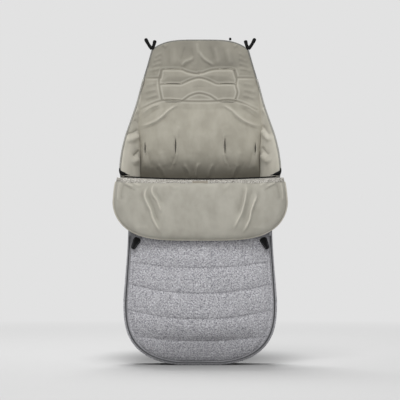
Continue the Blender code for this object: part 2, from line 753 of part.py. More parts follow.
def make_piping():
    """Piping round the head of the back, and along the front edges of both wings."""
    panel = back_panel()
    reach = PIPING_RADIUS + GAP
    y = REAR_Y - CLOTH - EDGE_PAD / 2
    side = [(-panel.half(z), z) for z in spread(CORNER_STEPS, WING_TOP_Z + 2 * reach, panel.top)]
    top = [panel.place(s, panel.top, FOOT_ROUND_Z, HEAD_SEAM_1_Z) for s in spread(PIPING_STEPS)]
    line = np.array(side[:-1] + top + [(-x, z) for x, z in side[:-1]][::-1])
    along = np.gradient(line, axis=0)
    out = np.stack([-along[:, 1], along[:, 0]], axis=1)
    out /= np.linalg.norm(out, axis=1, keepdims=True)
    line = line + out * (reach + GAP)
    tube("crown_piping", [(x, y, z) for x, z in line], PIPING_RADIUS, "piping")
    for name, sign in (("left", -1), ("right", 1)):
        points = []
        for z in spread(PIPING_STEPS, ZIP_TOP_Z + SLIDER_LENGTH, WING_TOP_Z):
            boxed = 1 - smooth((z - ZIP_TOP_Z) / (CREST_Z - ZIP_TOP_Z))
            x = side_line()(z) - GUSSET / 2 - GUSSET_FRONT_INSET * boxed
            points.append((sign * x, gusset_front_y(z) - reach - 4 * GAP, z))
        tube(f"{name}_wing_piping", points, PIPING_RADIUS, "piping")


# Apron


def apron_panel():
    powers = (FOOT_ACROSS_POWER, FOOT_UP_POWER)
    return Panel(side_line(), 0.0, FOOT_ROUND_Z, APRON_TOP_Z, powers, 0.0, APRON_INSET, FOOT_FLAT)


def apron_rows(panel, steps):
    """Heights of the grid rows at the apron's sides, so many to a channel."""
    ends = (panel.corner_z,) + APRON_SEAM_ENDS + (APRON_TOP_Z,)
    rows = [ends[0]]
    for low, high in zip(ends, ends[1:]):
        rows += spread(steps, low, high)[1:]
    return rows


def apron_point(panel, s, z):
    """Place on the apron seen from the front, with its rows sagging at the middle."""
    sag = line_through((panel.corner_z, *APRON_SEAM_ENDS, APRON_TOP_Z), (0, *APRON_SEAM_SAGS, 0))
    x, height = panel.place(s, z, APRON_SEAM_ENDS[0], APRON_TOP_Z - GAP)
    return x, height - sag(z) * (1 - s * s)


def apron_rise(panel, s, z):
    """How far the apron stands in front of the zips, without its quilting."""
    half = panel.half(z)
    edge = (1 - abs(s)) * half
    share = min(max((edge - APRON_MARGIN) / (half - APRON_MARGIN), 0.0), 1.0)
    up = min(max((z - panel.corner_z) / (FOOT_ROUND_Z - panel.corner_z), 0.0), 1.0)
    return APRON_BULGE * (1 - (1 - share) ** APRON_ACROSS_POWER) * (1 - (1 - up) ** APRON_UP_POWER), share


def apron_seam_y(panel, s, z):
    """Depth of the apron's front at its quilting seams."""
    return ZIP_Y - apron_rise(panel, s, z)[0]


def apron_front_y(panel, s, z):
    rise, share = apron_rise(panel, s, z)
    seams = (panel.corner_z,) + APRON_SEAM_ENDS + (APRON_TOP_Z,)
    puff = APRON_PUFF * channel_share(z, seams, 0.0) * min(1.0, share * APRON_PUFF_GAIN)
    return ZIP_Y - rise - puff


def apron_rear_y(panel, s, z):
    rise, share = apron_rise(panel, s, z)
    edge = CLOTH + VELOUR + 2 * GAP + APRON_EDGE_PAD
    return ZIP_Y - rise + edge + APRON_PAD * min(1.0, share * APRON_PAD_GAIN)


def apron_points(depth, steps):
    panel = apron_panel()
    points = []
    for z in apron_rows(panel, steps):
        row = []
        for s in spread(APRON_COLUMNS):
            x, height = apron_point(panel, s, z)
            row.append((x, depth(panel, s, z), height))
        points.append(row)
    return np.array(points)


def make_apron():
    cloth("apron_shell", apron_points(apron_front_y, APRON_SHELL_STEPS), CLOTH, "melange")
    rear = apron_points(apron_rear_y, 1)
    cloth("apron_lining", lifted(rear, VELOUR), VELOUR, "velour")
    inner = apron_points(apron_seam_y, 1)
    wadding("apron_wadding", lifted(inner, -CLOTH - GAP - APRON_SLACK), lifted(rear, VELOUR + GAP))
    panel = apron_panel()
    reach = CREST_BINDING_RADIUS + GAP
    line = []
    for s in spread(CREST_STEPS):
        x, z = apron_point(panel, s, APRON_TOP_Z)
        y = (apron_front_y(panel, s, APRON_TOP_Z) + apron_rear_y(panel, s, APRON_TOP_Z)) / 2
        line.append((x, y, z + reach))
    tube("crest_binding", line, CREST_BINDING_RADIUS, "zip")
    make_crest_fold(line)


def make_crest_fold(line):
    """The cloth that carries the cuff, from the crest forward to the top edge of the cuff's back."""
    top = CUFF_TOP_Z - CUFF_INSET - CREST_FOLD_DROP
    front = []
    rear = []
    for x, y, z in line:
        share = x / line[-1][0]
        reach = share * (CUFF_TOP_HALF - CUFF_INSET)
        rear.append((x, y - CREST_BINDING_RADIUS - GAP, z))
        front.append((reach, cuff_back_y(reach) + CREST_FOLD_GAP, top))
    middle = [tuple((a + b) / 2 for a, b in zip(one, two)) for one, two in zip(front, rear)]
    middle = [(x, y, z + CREST_FOLD_DROP / 2) for x, y, z in middle]
    cloth("crest_fold", np.array([front, middle, rear]), FOLD_CLOTH, "melange")


# Zips


def zip_front_y():
    """Depth of the zip tape's front face."""
    return ZIP_Y - ZIP_STAND - TAPE


def zip_path(sign, low, high):
    """The straight side run of a zip, between two heights."""
    foot = FOOT_HALF - ZIP_INSET
    waist = WAIST_HALF - ZIP_INSET
    points = []
    for z in (low, (low + high) / 2, high):
        share = (z - FOOT_ROUND_Z) / (ZIP_TOP_Z - FOOT_ROUND_Z)
        points.append(Vector((sign * (foot + (waist - foot) * share), ZIP_Y, z)))
    return points


def make_zips():
    tape_y = zip_front_y()
    chain_y = tape_y - GAP - CHAIN_RADIUS
    for name, sign in (("left", -1), ("right", 1)):
        path = zip_path(sign, FOOT_ROUND_Z + 4 * GAP, ZIP_TOP_Z)
        flat = [(p.x, tape_y, p.z) for p in path]
        strap(f"{name}_zip_tape", flat, [TAPE_WIDTH] * len(flat), TAPE, "tape")
        tube(f"{name}_zip_chain", [(p.x, chain_y, p.z) for p in path], CHAIN_RADIUS, "zip", resolution=2)
    foot = [foot_point(a, ZIP_INSET) for a in spread(FOOT_ZIP_STEPS, -math.pi / 2, math.pi / 2)]
    strap("foot_zip_tape", [(x, tape_y, z) for x, z in foot], [TAPE_WIDTH] * len(foot), TAPE, "tape")
    tube("foot_zip_chain", [(x, chain_y, z) for x, z in foot], CHAIN_RADIUS, "zip", resolution=1)


def slider_place(sign):
    low, middle, high = zip_path(sign, SLIDER_Z - SLIDER_LENGTH / 2, SLIDER_Z + SLIDER_LENGTH / 2)
    return middle, (high - low).normalized()


def make_slider(name, sign):
    """A slider body with a bore for the chain, and a lug in front with a cross bore for the pull's link."""
    middle, along = slider_place(sign)
    back = zip_front_y() - GAP
    chain_y = back - CHAIN_RADIUS
    turn = Vector((0, 0, 1)).rotation_difference(along)
    spot = Vector((middle.x, back, middle.z))

    def fill(mesh):
        box(mesh, (0, -SLIDER_FRONT / 2, 0), (SLIDER_WIDTH, SLIDER_FRONT, SLIDER_LENGTH))

    body = mesh_part(f"{name}_zip_slider", fill)
    edge = body.modifiers.new("edges", "BEVEL")
    edge.width = SLIDER_LENGTH / 10
    edge.segments = 2

    def lug(mesh):
        box(mesh, (0, -SLIDER_FRONT - LUG_HEIGHT / 2 + GAP, 0), (LUG_WIDTH, LUG_HEIGHT + GAP, LUG_LENGTH))

    block = helper(f"{name}_lug", lug)
    join = body.modifiers.new("lug", "BOOLEAN")
    join.operation = "UNION"
    join.object = block
    bore = helper(f"{name}_chain_bore", lambda mesh: rod(mesh, CHAIN_RADIUS + SLIDER_BORE_CLEARANCE, SLIDER_LENGTH))
    bore.location = (0, chain_y - back, 0)
    slit = helper(
        f"{name}_tape_slit",
        lambda mesh: box(mesh, (0, 0, 0), (CHAIN_RADIUS, 2 * CHAIN_RADIUS, SLIDER_LENGTH + OVERRUN)),
    )
    eye = helper(f"{name}_link_bore", lambda mesh: rod(mesh, LUG_BORE_RADIUS, LUG_WIDTH))
    eye.location = (0, lug_y() - back, 0)
    eye.rotation_euler = (0, math.pi / 2, 0)
    for cutter in (bore, slit, eye):
        cut = body.modifiers.new(cutter.name, "BOOLEAN")
        cut.operation = "DIFFERENCE"
        cut.object = cutter
    for piece in (block, bore, slit, eye):
        piece.parent = body
    body.rotation_mode = "QUATERNION"
    body.rotation_quaternion = turn
    body.location = spot
    dress(body, "enamel", METAL_ROUGHNESS, METAL)


def lug_y():
    """Depth of the pull's hinge line."""
    return zip_front_y() - GAP - SLIDER_FRONT - LUG_HEIGHT / 2


def helper(name, fill):
    """A hidden shape that cuts or joins."""
    shape = mesh_part(name, fill, CUTTERS)
    shape.hide_render = True
    shape.display_type = "WIRE"
    return shape


def rod(mesh, radius, length):
    bmesh.ops.create_cone(
        mesh,
        cap_ends=True,
        segments=16,
        radius1=radius,
        radius2=radius,
        depth=length + OVERRUN,
    )


def make_pull(name, sign):
    """A wire link through the slider's lug, and a tapered loop of webbing that hangs from it."""
    middle, _ = slider_place(sign)
    y = lug_y()
    top = Vector((middle.x, y, middle.z))
    low = top + Vector((-sign * LINK_REACH_X, 0, -LINK_REACH_Z))
    lean = Vector((sign * math.sin(PULL_LEAN), 0, -math.cos(PULL_LEAN)))
    down = Vector((0, 0, -LUG_LENGTH / 2 - 2 * LINK_RADIUS))
    reach = Vector((LINK_HALF, 0, 0))
    points = [top - reach, top + reach, top + reach + down, low + reach, low - reach, top - reach + down]
    tube(f"{name}_pull_link", points, LINK_RADIUS, "enamel", cyclic=True, metallic=METAL)
    slant = PULL_TOP_WIDTH * PULL_WIDTH_SHARES[0] / 2 * math.sin(PULL_LEAN)
    start = low + lean * (LINK_RADIUS + GAP + slant)
    start.y -= PULL_THICKNESS / 2
    path = [start + lean * PULL_LENGTH * share for share in PULL_STEP_SHARES]
    widths = [PULL_TOP_WIDTH * share for share in PULL_WIDTH_SHARES]
    strap(f"{name}_pull_loop", path, widths, PULL_THICKNESS, "black")


# Cuff


def cuff_side():
    low = CUFF_LOW_Z + CUFF_ROUND
    return line_through(
        (low, (low + CUFF_TOP_Z) / 2, CUFF_TOP_Z),
        (CUFF_HALF, (CUFF_HALF * 2 + CUFF_TOP_HALF) / 3, CUFF_TOP_HALF),
    )


def cuff_panel(inset=0.0):
    powers = (CUFF_ACROSS_POWER, CUFF_UP_POWER)
    low = CUFF_LOW_Z
    return Panel(cuff_side(), low, low + CUFF_ROUND, CUFF_TOP_Z - inset, powers, 0.0, inset, 0.0)


def cuff_back_y(x):
    """Depth of the cuff's back, arched round the apron."""
    share = min(abs(x) / CUFF_HALF, 1.0)
    return -CUFF_BACK_ENDS - (CUFF_BACK_MIDDLE - CUFF_BACK_ENDS) * (1 - share**2)


def fold_depth(x, z):
    """Depth of the long folds that run down from the crest on both sides."""
    share = (CUFF_TOP_Z - z) / (CUFF_TOP_Z - CUFF_LOW_Z)
    line = CUFF_HALF * (CUFF_LINE_SHARE - CUFF_LINE_DRIFT * math.sin(min(share, 1.0) * math.pi / 2))
    near = math.exp(-(((abs(x) - line) / CUFF_FOLD_WIDTH) ** 2))
    start, length = CUFF_FOLD_END_SHARES
    return CUFF_FOLD_DEPTH * near * smooth(share * CUFF_FOLD_START) * (1 - smooth((share - start) / length))


def cuff_points(inset, front, columns, steps):
    panel = cuff_panel(inset)
    rows = spread(steps, panel.corner_z, panel.top)
    thick = DEPTH / 2 - CUFF_BACK_MIDDLE
    points = []
    for i, z in enumerate(rows):
        row = []
        up = abs(2 * i / (len(rows) - 1) - 1)
        for s in spread(columns):
            x, height = panel.place(s, z, CUFF_LOW_Z + CUFF_ROUND, panel.top - GAP)
            y = cuff_back_y(x)
            if front:
                full = math.sqrt((1 - up**CUFF_UP_ROUND) * (1 - abs(s) ** CUFF_SIDE_ROUND))
                y -= CUFF_EDGE + (thick - CUFF_EDGE) * full - fold_depth(x, height) * full
            row.append((x, y, height))
        points.append(row)
    return np.array(points)


def make_cuff():
    inset = CUFF_INSET
    front = cuff_points(inset, True, CUFF_COLUMNS, CUFF_ROWS)
    cloth("cuff_lining", front, VELOUR, "velour")
    back = cuff_points(inset, False, CUFF_COLUMNS // 2, CUFF_ROWS // 2)
    cloth("cuff_shell", lifted(back, CLOTH), CLOTH, "melange")
    behind = cuff_points(inset, False, CUFF_COLUMNS, CUFF_ROWS)
    wadding("cuff_wadding", lifted(front, -VELOUR - CUFF_SLACK), lifted(behind, CLOTH + CUFF_SLACK))
    make_facing(front)
    make_hem()


def make_facing(front):
    """The grey strip under the crest, in two halves beside the velour tab at its middle."""
    middle = CUFF_COLUMNS // 2
    cells = {
        "left_cuff_facing": (0, middle),
        "cuff_tab": (middle - 1, middle + 2),
        "right_cuff_facing": (middle + 1, CUFF_COLUMNS + 1),
    }
    strip = lifted(front, FACING + GAP)[-2:]
    for name, (start, end) in cells.items():
        piece = strip[:, start:end].copy()
        if "left" in name:
            piece[:, -1] = piece[:, -1] + (piece[:, -2] - piece[:, -1]) * FACING_CUT_SHARE
        if "right" in name:
            piece[:, 0] = piece[:, 0] + (piece[:, 1] - piece[:, 0]) * FACING_CUT_SHARE
        cloth(name, piece, FACING, "velour" if name == "cuff_tab" else "melange")


def make_hem():
    """Piping along the cuff's free edge, from one end of the crest round the bottom to the other."""
    panel = cuff_panel(HEM_RADIUS)
    side = [(-panel.half(z), z) for z in spread(HEM_SIDE_STEPS, panel.top - CUFF_EDGE, panel.corner_z)]
    low = [(s * panel.corner_x, panel.foot(s * panel.corner_x)) for s in spread(HEM_FOOT_STEPS)]
    line = side[:-1] + low + [(-x, z) for x, z in side[:-1]][::-1]
    points = [(x, cuff_back_y(x) - CUFF_EDGE / 2, z) for x, z in line]
    tube("cuff_hem", points, HEM_RADIUS, "velour", resolution=1)


def make_fold_ends():
    """Black ends of the open zip, folded over where the wings meet the crest."""
    for name, sign in (("left", -1), ("right", 1)):
        top = CREST_Z + FOLD_END_RISE
        x = side_line()(top) - GUSSET / 2
        y = gusset_front_y(CREST_Z) - 2 * PIPING_RADIUS - FOLD_END_RADIUS - 2 * GAP
        points = [(x + FOLD_END_RADIUS, y, top + FOLD_END_RADIUS), (x + FOLD_END_RADIUS, y, top - FOLD_END_RISE / 3)]
        for across, down in zip(FOLD_END_IN_SHARES, FOLD_END_DOWN_SHARES):
            points.append((x - FOLD_END_LENGTH * across, y, top - FOLD_END_RISE * down))
        end = tube(f"{name}_zip_fold", [(sign * a, b, c) for a, b, c in points], FOLD_END_RADIUS, "black")
        for point, share in zip(end.data.splines[0].points, FOLD_END_RADIUS_SHARES):
            point.radius = share


# Ties


def make_ties():
    """Short black webbing ties that stand up from the piping at both top corners, and one loop end at the crown."""
    piping_y = REAR_Y - CLOTH - EDGE_PAD / 2
    front_y = piping_y - PIPING_RADIUS - TIE
    panel = back_panel()
    reach = PIPING_RADIUS + 2 * GAP
    for name, sign in (("left", -1), ("right", 1)):
        foot_x = sign * (panel.half(panel.top) + reach)
        ties = (("outer", 1, TIE_OUTER_LENGTH, front_y - TIE - GAP), ("inner", -1, TIE_INNER_LENGTH, front_y))
        for place, lean, length, y in ties:
            start = Vector((foot_x, y, panel.top + reach))
            way = Vector((sign * lean * TIE_LEAN, 0, 1)).normalized()
            path = [start + way * length * share for share in TIE_STEP_SHARES]
            widths = [TIE_WIDTH * share for share in TIE_END_SHARES]
            strap(f"{name}_{place}_tie", path, widths, TIE, "black")
    x, z = panel.place(LOOP_PLACE_SHARE, panel.top, FOOT_ROUND_Z, HEAD_SEAM_1_Z)
    foot = z + 2 * PIPING_RADIUS + 4 * GAP
    path = [(x, piping_y, foot + LOOP_LENGTH * share) for share in LOOP_STEP_SHARES]
    strap("crown_loop_end", path, [LOOP_WIDTH * share for share in LOOP_WIDTH_SHARES], TIE, "black")


def pivot(name, place, pieces, carrier=None):
    """An empty on a joint's axis, with the pieces that turn about it as its children."""
    empty = place_in(bpy.data.objects.new(name, None), PARTS)
    empty.empty_display_size = OVERRUN
    empty.location = place
    if carrier:
        empty.parent = bpy.data.objects[carrier]
    bpy.context.view_layer.update()
    if carrier:
        empty.matrix_parent_inverse = bpy.data.objects[carrier].matrix_world.inverted()
        bpy.context.view_layer.update()
    for piece in pieces:
        child = bpy.data.objects[piece]
        child.parent = empty
        child.matrix_parent_inverse = empty.matrix_world.inverted()


def make_pivots():
    """The cuff turns about its top edge, and each pull turns in its slider's lug."""
    cuff = ("cuff_lining", "cuff_wadding", "cuff_shell", "cuff_hem", "cuff_tab", "left_cuff_facing", "right_cuff_facing")
    fold_y = -CUFF_BACK_MIDDLE - CUFF_EDGE * CUFF_HINGE_SHARE
    pivot("cuff_fold", (0, fold_y, CUFF_TOP_Z - CUFF_INSET), cuff)
    for name, sign in (("left", -1), ("right", 1)):
        middle, _ = slider_place(sign)
        pieces = (f"{name}_pull_link", f"{name}_pull_loop")
        pivot(f"{name}_pull_swing", (middle.x, lug_y(), middle.z), pieces, f"{name}_zip_slider")


def main():
    clear_scene()
    lining = make_back()
    make_slot_bindings(lining)
    make_gussets()
    make_piping()
    make_apron()
    make_zips()
    for name, sign in (("left", -1), ("right", 1)):
        make_slider(name, sign)
        make_pull(name, sign)
    make_cuff()
    make_fold_ends()
    make_ties()
    make_pivots()


main()
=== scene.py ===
"""The looks of a stroller footmuff: grey melange cloth outside, taupe velour inside, the apron's top folded down.

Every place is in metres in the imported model's own frame: +Z up, the opening to the front (-Y). Lines that are
read off the front of the object, such as seams and folds, are written in millimetres from the foot's middle.
"""

import json
import logging
import math
from collections.abc import Sequence
from dataclasses import dataclass
from enum import Enum

import bmesh
import bpy
import numpy as np
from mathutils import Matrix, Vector
from mathutils.bvhtree import BVHTree

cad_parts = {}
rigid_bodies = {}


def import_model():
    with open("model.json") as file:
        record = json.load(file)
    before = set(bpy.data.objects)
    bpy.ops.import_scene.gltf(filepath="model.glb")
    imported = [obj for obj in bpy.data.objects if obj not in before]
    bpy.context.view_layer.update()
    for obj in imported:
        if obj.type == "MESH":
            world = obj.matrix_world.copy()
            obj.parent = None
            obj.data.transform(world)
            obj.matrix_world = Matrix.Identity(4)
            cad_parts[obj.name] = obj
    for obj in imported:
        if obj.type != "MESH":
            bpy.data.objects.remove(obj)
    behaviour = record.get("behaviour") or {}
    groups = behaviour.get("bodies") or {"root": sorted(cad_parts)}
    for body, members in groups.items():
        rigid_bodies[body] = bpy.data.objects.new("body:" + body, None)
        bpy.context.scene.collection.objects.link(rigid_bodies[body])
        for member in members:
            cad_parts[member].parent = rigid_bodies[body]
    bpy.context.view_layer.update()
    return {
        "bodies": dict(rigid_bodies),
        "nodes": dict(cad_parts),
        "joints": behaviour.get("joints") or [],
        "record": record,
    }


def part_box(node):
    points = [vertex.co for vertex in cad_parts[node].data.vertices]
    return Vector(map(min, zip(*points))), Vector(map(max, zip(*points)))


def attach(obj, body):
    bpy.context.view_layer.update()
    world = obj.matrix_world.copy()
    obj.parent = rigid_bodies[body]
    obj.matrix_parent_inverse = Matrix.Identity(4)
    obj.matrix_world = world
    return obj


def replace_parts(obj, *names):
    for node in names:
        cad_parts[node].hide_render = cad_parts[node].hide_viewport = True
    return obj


LOG = logging.getLogger("footmuff")
MM = 0.001
Array = np.ndarray
Line = Sequence[tuple[float, float]]
Tree = bpy.types.NodeTree
Node = bpy.types.Node
Socket = bpy.types.NodeSocket
Piece = bpy.types.Object
Pair = tuple[Array, Array]
Triple = tuple[float, float, float]
SIDES = (("left", -1), ("right", 1))


def level(value: Array) -> Array:
    """Runs from 0 to 1 with level ends."""
    value = np.clip(value, 0.0, 1.0)
    return value * value * (3 - 2 * value)


def ramp(value: Array, start: Array | float, end: Array | float) -> Array:
    """Runs from 0 at start to 1 at end, with level ends."""
    return level((value - start) / (end - start))


def bell(value: Array, middle: float, width: float) -> Array:
    """Is 1 at the middle and dies away on both sides."""
    return np.exp(-(((value - middle) / width) ** 2))


def spread(count: int, start: float = -1.0, end: float = 1.0) -> Array:
    """Even steps from start to end, both kept."""
    return np.linspace(start, end, count + 1)


def smoothed(line: Line, steps: int = 5) -> Array:
    """Rounds a line of given points.

    Args:
        line: The points, across and up.
        steps: How many steps each stretch gets.

    Returns:
        The rounded points, one row each.
    """
    points = np.array(line, float)
    if len(points) < 3:
        return points
    ends = np.vstack([2 * points[0] - points[1], points, 2 * points[-1] - points[-2]])
    share = np.linspace(0, 1, steps, endpoint=False)[:, None]
    out = []
    for a, b, c, d in zip(ends, ends[1:], ends[2:], ends[3:]):
        bend = 2 * b + (c - a) * share + (2 * a - 5 * b + 4 * c - d) * share**2
        out.append((bend + (3 * b - a - 3 * c + d) * share**3) / 2)
    return np.vstack([*out, points[-1:]])


@dataclass(frozen=True)
class SmoothLine:
    """A smooth line through given values that doesn't overshoot them."""

    places: tuple[float, ...]
    values: tuple[float, ...]

    def __call__(self, place: Array) -> Array:
        """The value at each place, held at the ends.

        Args:
            place: The places.

        Returns:
            The values.
        """
        x = np.array(self.places)
        y = np.array(self.values)
        steps = np.diff(x)
        slopes = np.diff(y) / steps
        same = slopes[:-1] * slopes[1:] > 0
        total = np.where(same, slopes[:-1] + slopes[1:], 1.0)
        inner = np.where(same, 2 * slopes[:-1] * slopes[1:] / total, 0.0)
        tangents = np.concatenate([slopes[:1], inner, slopes[-1:]])
        place = np.clip(place, x[0], x[-1])
        i = np.clip(np.searchsorted(x, place, side="right") - 1, 0, len(steps) - 1)
        h = steps[i]
        f = (place - x[i]) / h
        start = (1 + 2 * f) * (1 - f) ** 2 * y[i] + f * (1 - f) ** 2 * h * tangents[i]
        return start + f * f * (3 - 2 * f) * y[i + 1] + f * f * (f - 1) * h * tangents[i + 1]


@dataclass
class Ripple:
    """Smooth seeded noise over a plane, from -1 to 1, so that no two puckers are alike."""

    seed: int
    wide: float
    tall: float
    cells: int = 96

    def __post_init__(self) -> None:
        """Draws the noise's lattice once."""
        self.lattice = np.random.default_rng(self.seed).uniform(-1, 1, (self.cells, self.cells))

    def __call__(self, across: Array, up: Array) -> Array:
        """The noise at each point, in the same unit as wide and tall.

        Args:
            across: Places across.
            up: Places up.

        Returns:
            The noise.
        """
        u = across / self.wide
        v = up / self.tall
        i = np.floor(u).astype(int)
        j = np.floor(v).astype(int)
        f = level(u - i)
        g = level(v - j)
        grid = self.lattice
        n = self.cells
        low = grid[i % n, j % n] * (1 - f) + grid[(i + 1) % n, j % n] * f
        high = grid[i % n, (j + 1) % n] * (1 - f) + grid[(i + 1) % n, (j + 1) % n] * f
        return low * (1 - g) + high * g


@dataclass(frozen=True)
class Fold:
    """A fold along a line on the front, in millimetres: a soft rise, or a sunk line where its height is negative."""

    line: Line
    height: float
    width: float
    fade: float = 0.22

    def mirrored(self) -> "Fold":
        """The same fold on the other side."""
        return Fold(tuple((-x, z) for x, z in self.line), self.height, self.width, self.fade)


Folds = tuple[Fold, ...]


def folds_of(*rows: tuple[float, ...]) -> Folds:
    """Folds from rows that each give a height, a width and then the line's points, across and up."""
    return tuple(Fold(tuple(zip(row[2::2], row[3::2])), *row[:2]) for row in rows)


def both_sides(*folds: Fold) -> Folds:
    """The folds and their mirror images."""
    return folds + tuple(f.mirrored() for f in folds)


def near_line(points: Array, x: Array, z: Array) -> Pair:
    """Distance from each place to a line, and how far along the line the nearest point lies.

    Args:
        points: The line's points.
        x: Places across, as a flat list.
        z: Places up, as a flat list.

    Returns:
        The distances, and the lengths along the line.
    """
    a = points[:-1]
    run = points[1:] - a
    lengths = np.linalg.norm(run, axis=1)
    before = np.concatenate([[0.0], np.cumsum(lengths)[:-1]])
    px = x[:, None] - a[None, :, 0]
    pz = z[:, None] - a[None, :, 1]
    share = np.clip((px * run[:, 0] + pz * run[:, 1]) / np.maximum(lengths**2, 1e-9), 0, 1)
    apart = np.hypot(px - share * run[:, 0], pz - share * run[:, 1])
    best = np.argmin(apart, axis=1)
    rows = np.arange(len(x))
    return apart[rows, best], before[best] + share[rows, best] * lengths[best]


def lift_of(folds: Sequence[Fold], x: Array, z: Array) -> Array:
    """Height of a cloth's folds towards the viewer, in millimetres, for places in millimetres.

    Args:
        folds: The folds.
        x: Places across.
        z: Heights.

    Returns:
        The height.
    """
    total = np.zeros(x.shape)
    for fold in folds:
        points = smoothed(fold.line)
        low = points.min(axis=0) - 4 * fold.width
        high = points.max(axis=0) + 4 * fold.width
        inside = (x > low[0]) & (x < high[0]) & (z > low[1]) & (z < high[1])
        if not inside.any():
            continue
        apart, along = near_line(points, x[inside], z[inside])
        whole = np.linalg.norm(np.diff(points, axis=0), axis=1).sum()
        ends = level(np.minimum(along, whole - along) / (fold.fade * whole))
        shape = np.exp(-apart / fold.width) if fold.height < 0 else bell(apart, 0.0, fold.width)
        total[inside] += fold.height * shape * ends
    return total


@dataclass
class Seams:
    """Sewn lines that pull a padded cloth down, with puckers beside them."""

    lines: tuple[Line, ...]
    reach: float
    pucker: float = 0.5
    wave: float = 9.0
    seed: int = 5

    def shares(self, x: Array, z: Array) -> Pair:
        """How full the padding is at each place, and the height of the puckers, in millimetres.

        Args:
            x: Places across.
            z: Heights.

        Returns:
            The shares and the heights.
        """
        least = np.full(x.shape, 1e3)
        wrinkle = np.zeros(x.shape)
        noise = Ripple(self.seed, self.wave, self.wave * 2.2)
        flat_x = x.ravel()
        flat_z = z.ravel()
        for number, line in enumerate(self.lines):
            points = smoothed(line)
            apart, along = near_line(points, flat_x, flat_z)
            apart = apart.reshape(x.shape)
            along = along.reshape(x.shape)
            closer = apart < least
            least = np.where(closer, apart, least)
            wave = noise(along + 37 * number, apart * 0.6 + 11 * number)
            wrinkle = np.where(closer, wave * np.exp(-apart / (self.reach * 0.55)), wrinkle)
        full = 1 - np.exp(-((least / self.reach) ** 1.25))
        return full, wrinkle * self.pucker


@dataclass
class Outline:
    """A flat outline seen from the front: curved sides over a rounded foot, with a crowned top."""

    side: SmoothLine
    low: float
    round_z: float
    top: float
    across: float
    up: float
    crown: float = 0.0
    inset: float = 0.0
    flat: float = 0.0

    def __post_init__(self) -> None:
        """Works out the corner where the grid's lowest row meets the side."""
        self.low += self.inset
        self.rounding = self.round_z - self.low
        self.round_half = float(self.side(np.array(self.round_z))) - self.inset
        self.corner_x = self.round_half * 0.5 ** (1 / self.across)
        self.corner_z = float(self.foot(np.array(self.corner_x)))

    def foot(self, x: Array) -> Array:
        """Height of the foot's edge at each place across.

        Args:
            x: Places across.

        Returns:
            The heights.
        """
        inner = np.maximum(0.0, 1 - (np.abs(x) / self.round_half) ** self.across)
        share = 1 - inner ** (1 / self.up)
        rise = np.maximum(0.0, share * self.rounding - self.flat)
        return self.low + rise * self.rounding / (self.rounding - self.flat)

    def half(self, z: Array) -> Array:
        """Half width at each height.

        Args:
            z: Heights.

        Returns:
            The half widths.
        """
        share = (z - self.low) * (1 - self.flat / self.rounding) / self.rounding + self.flat / self.rounding
        bent = np.maximum(0.0, 1 - np.clip(1 - share, 0, 1) ** self.up) ** (1 / self.across)
        return np.where(z >= self.low + self.rounding, self.side(z) - self.inset, self.round_half * bent)

    def place(self, s: Array, z: Array, fade_z: float, crown_from: float) -> Pair:
        """Places across and up for a share s across the row that meets the side at height z.

        Args:
            s: Shares across, from -1 to 1.
            z: Heights of the rows at the side.
            fade_z: Height at which rows stop following the foot.
            crown_from: Height at which rows start to follow the crown.

        Returns:
            Places across and up.
        """
        x = s * self.half(z)
        left = 1 - ramp(z, self.corner_z, fade_z)
        drop = (self.corner_z - self.foot(np.abs(s) * self.corner_x)) * left
        rise = self.crown * (1 - np.abs(s) ** 4) * ramp(z, crown_from, self.top)
        return x, z - drop + rise


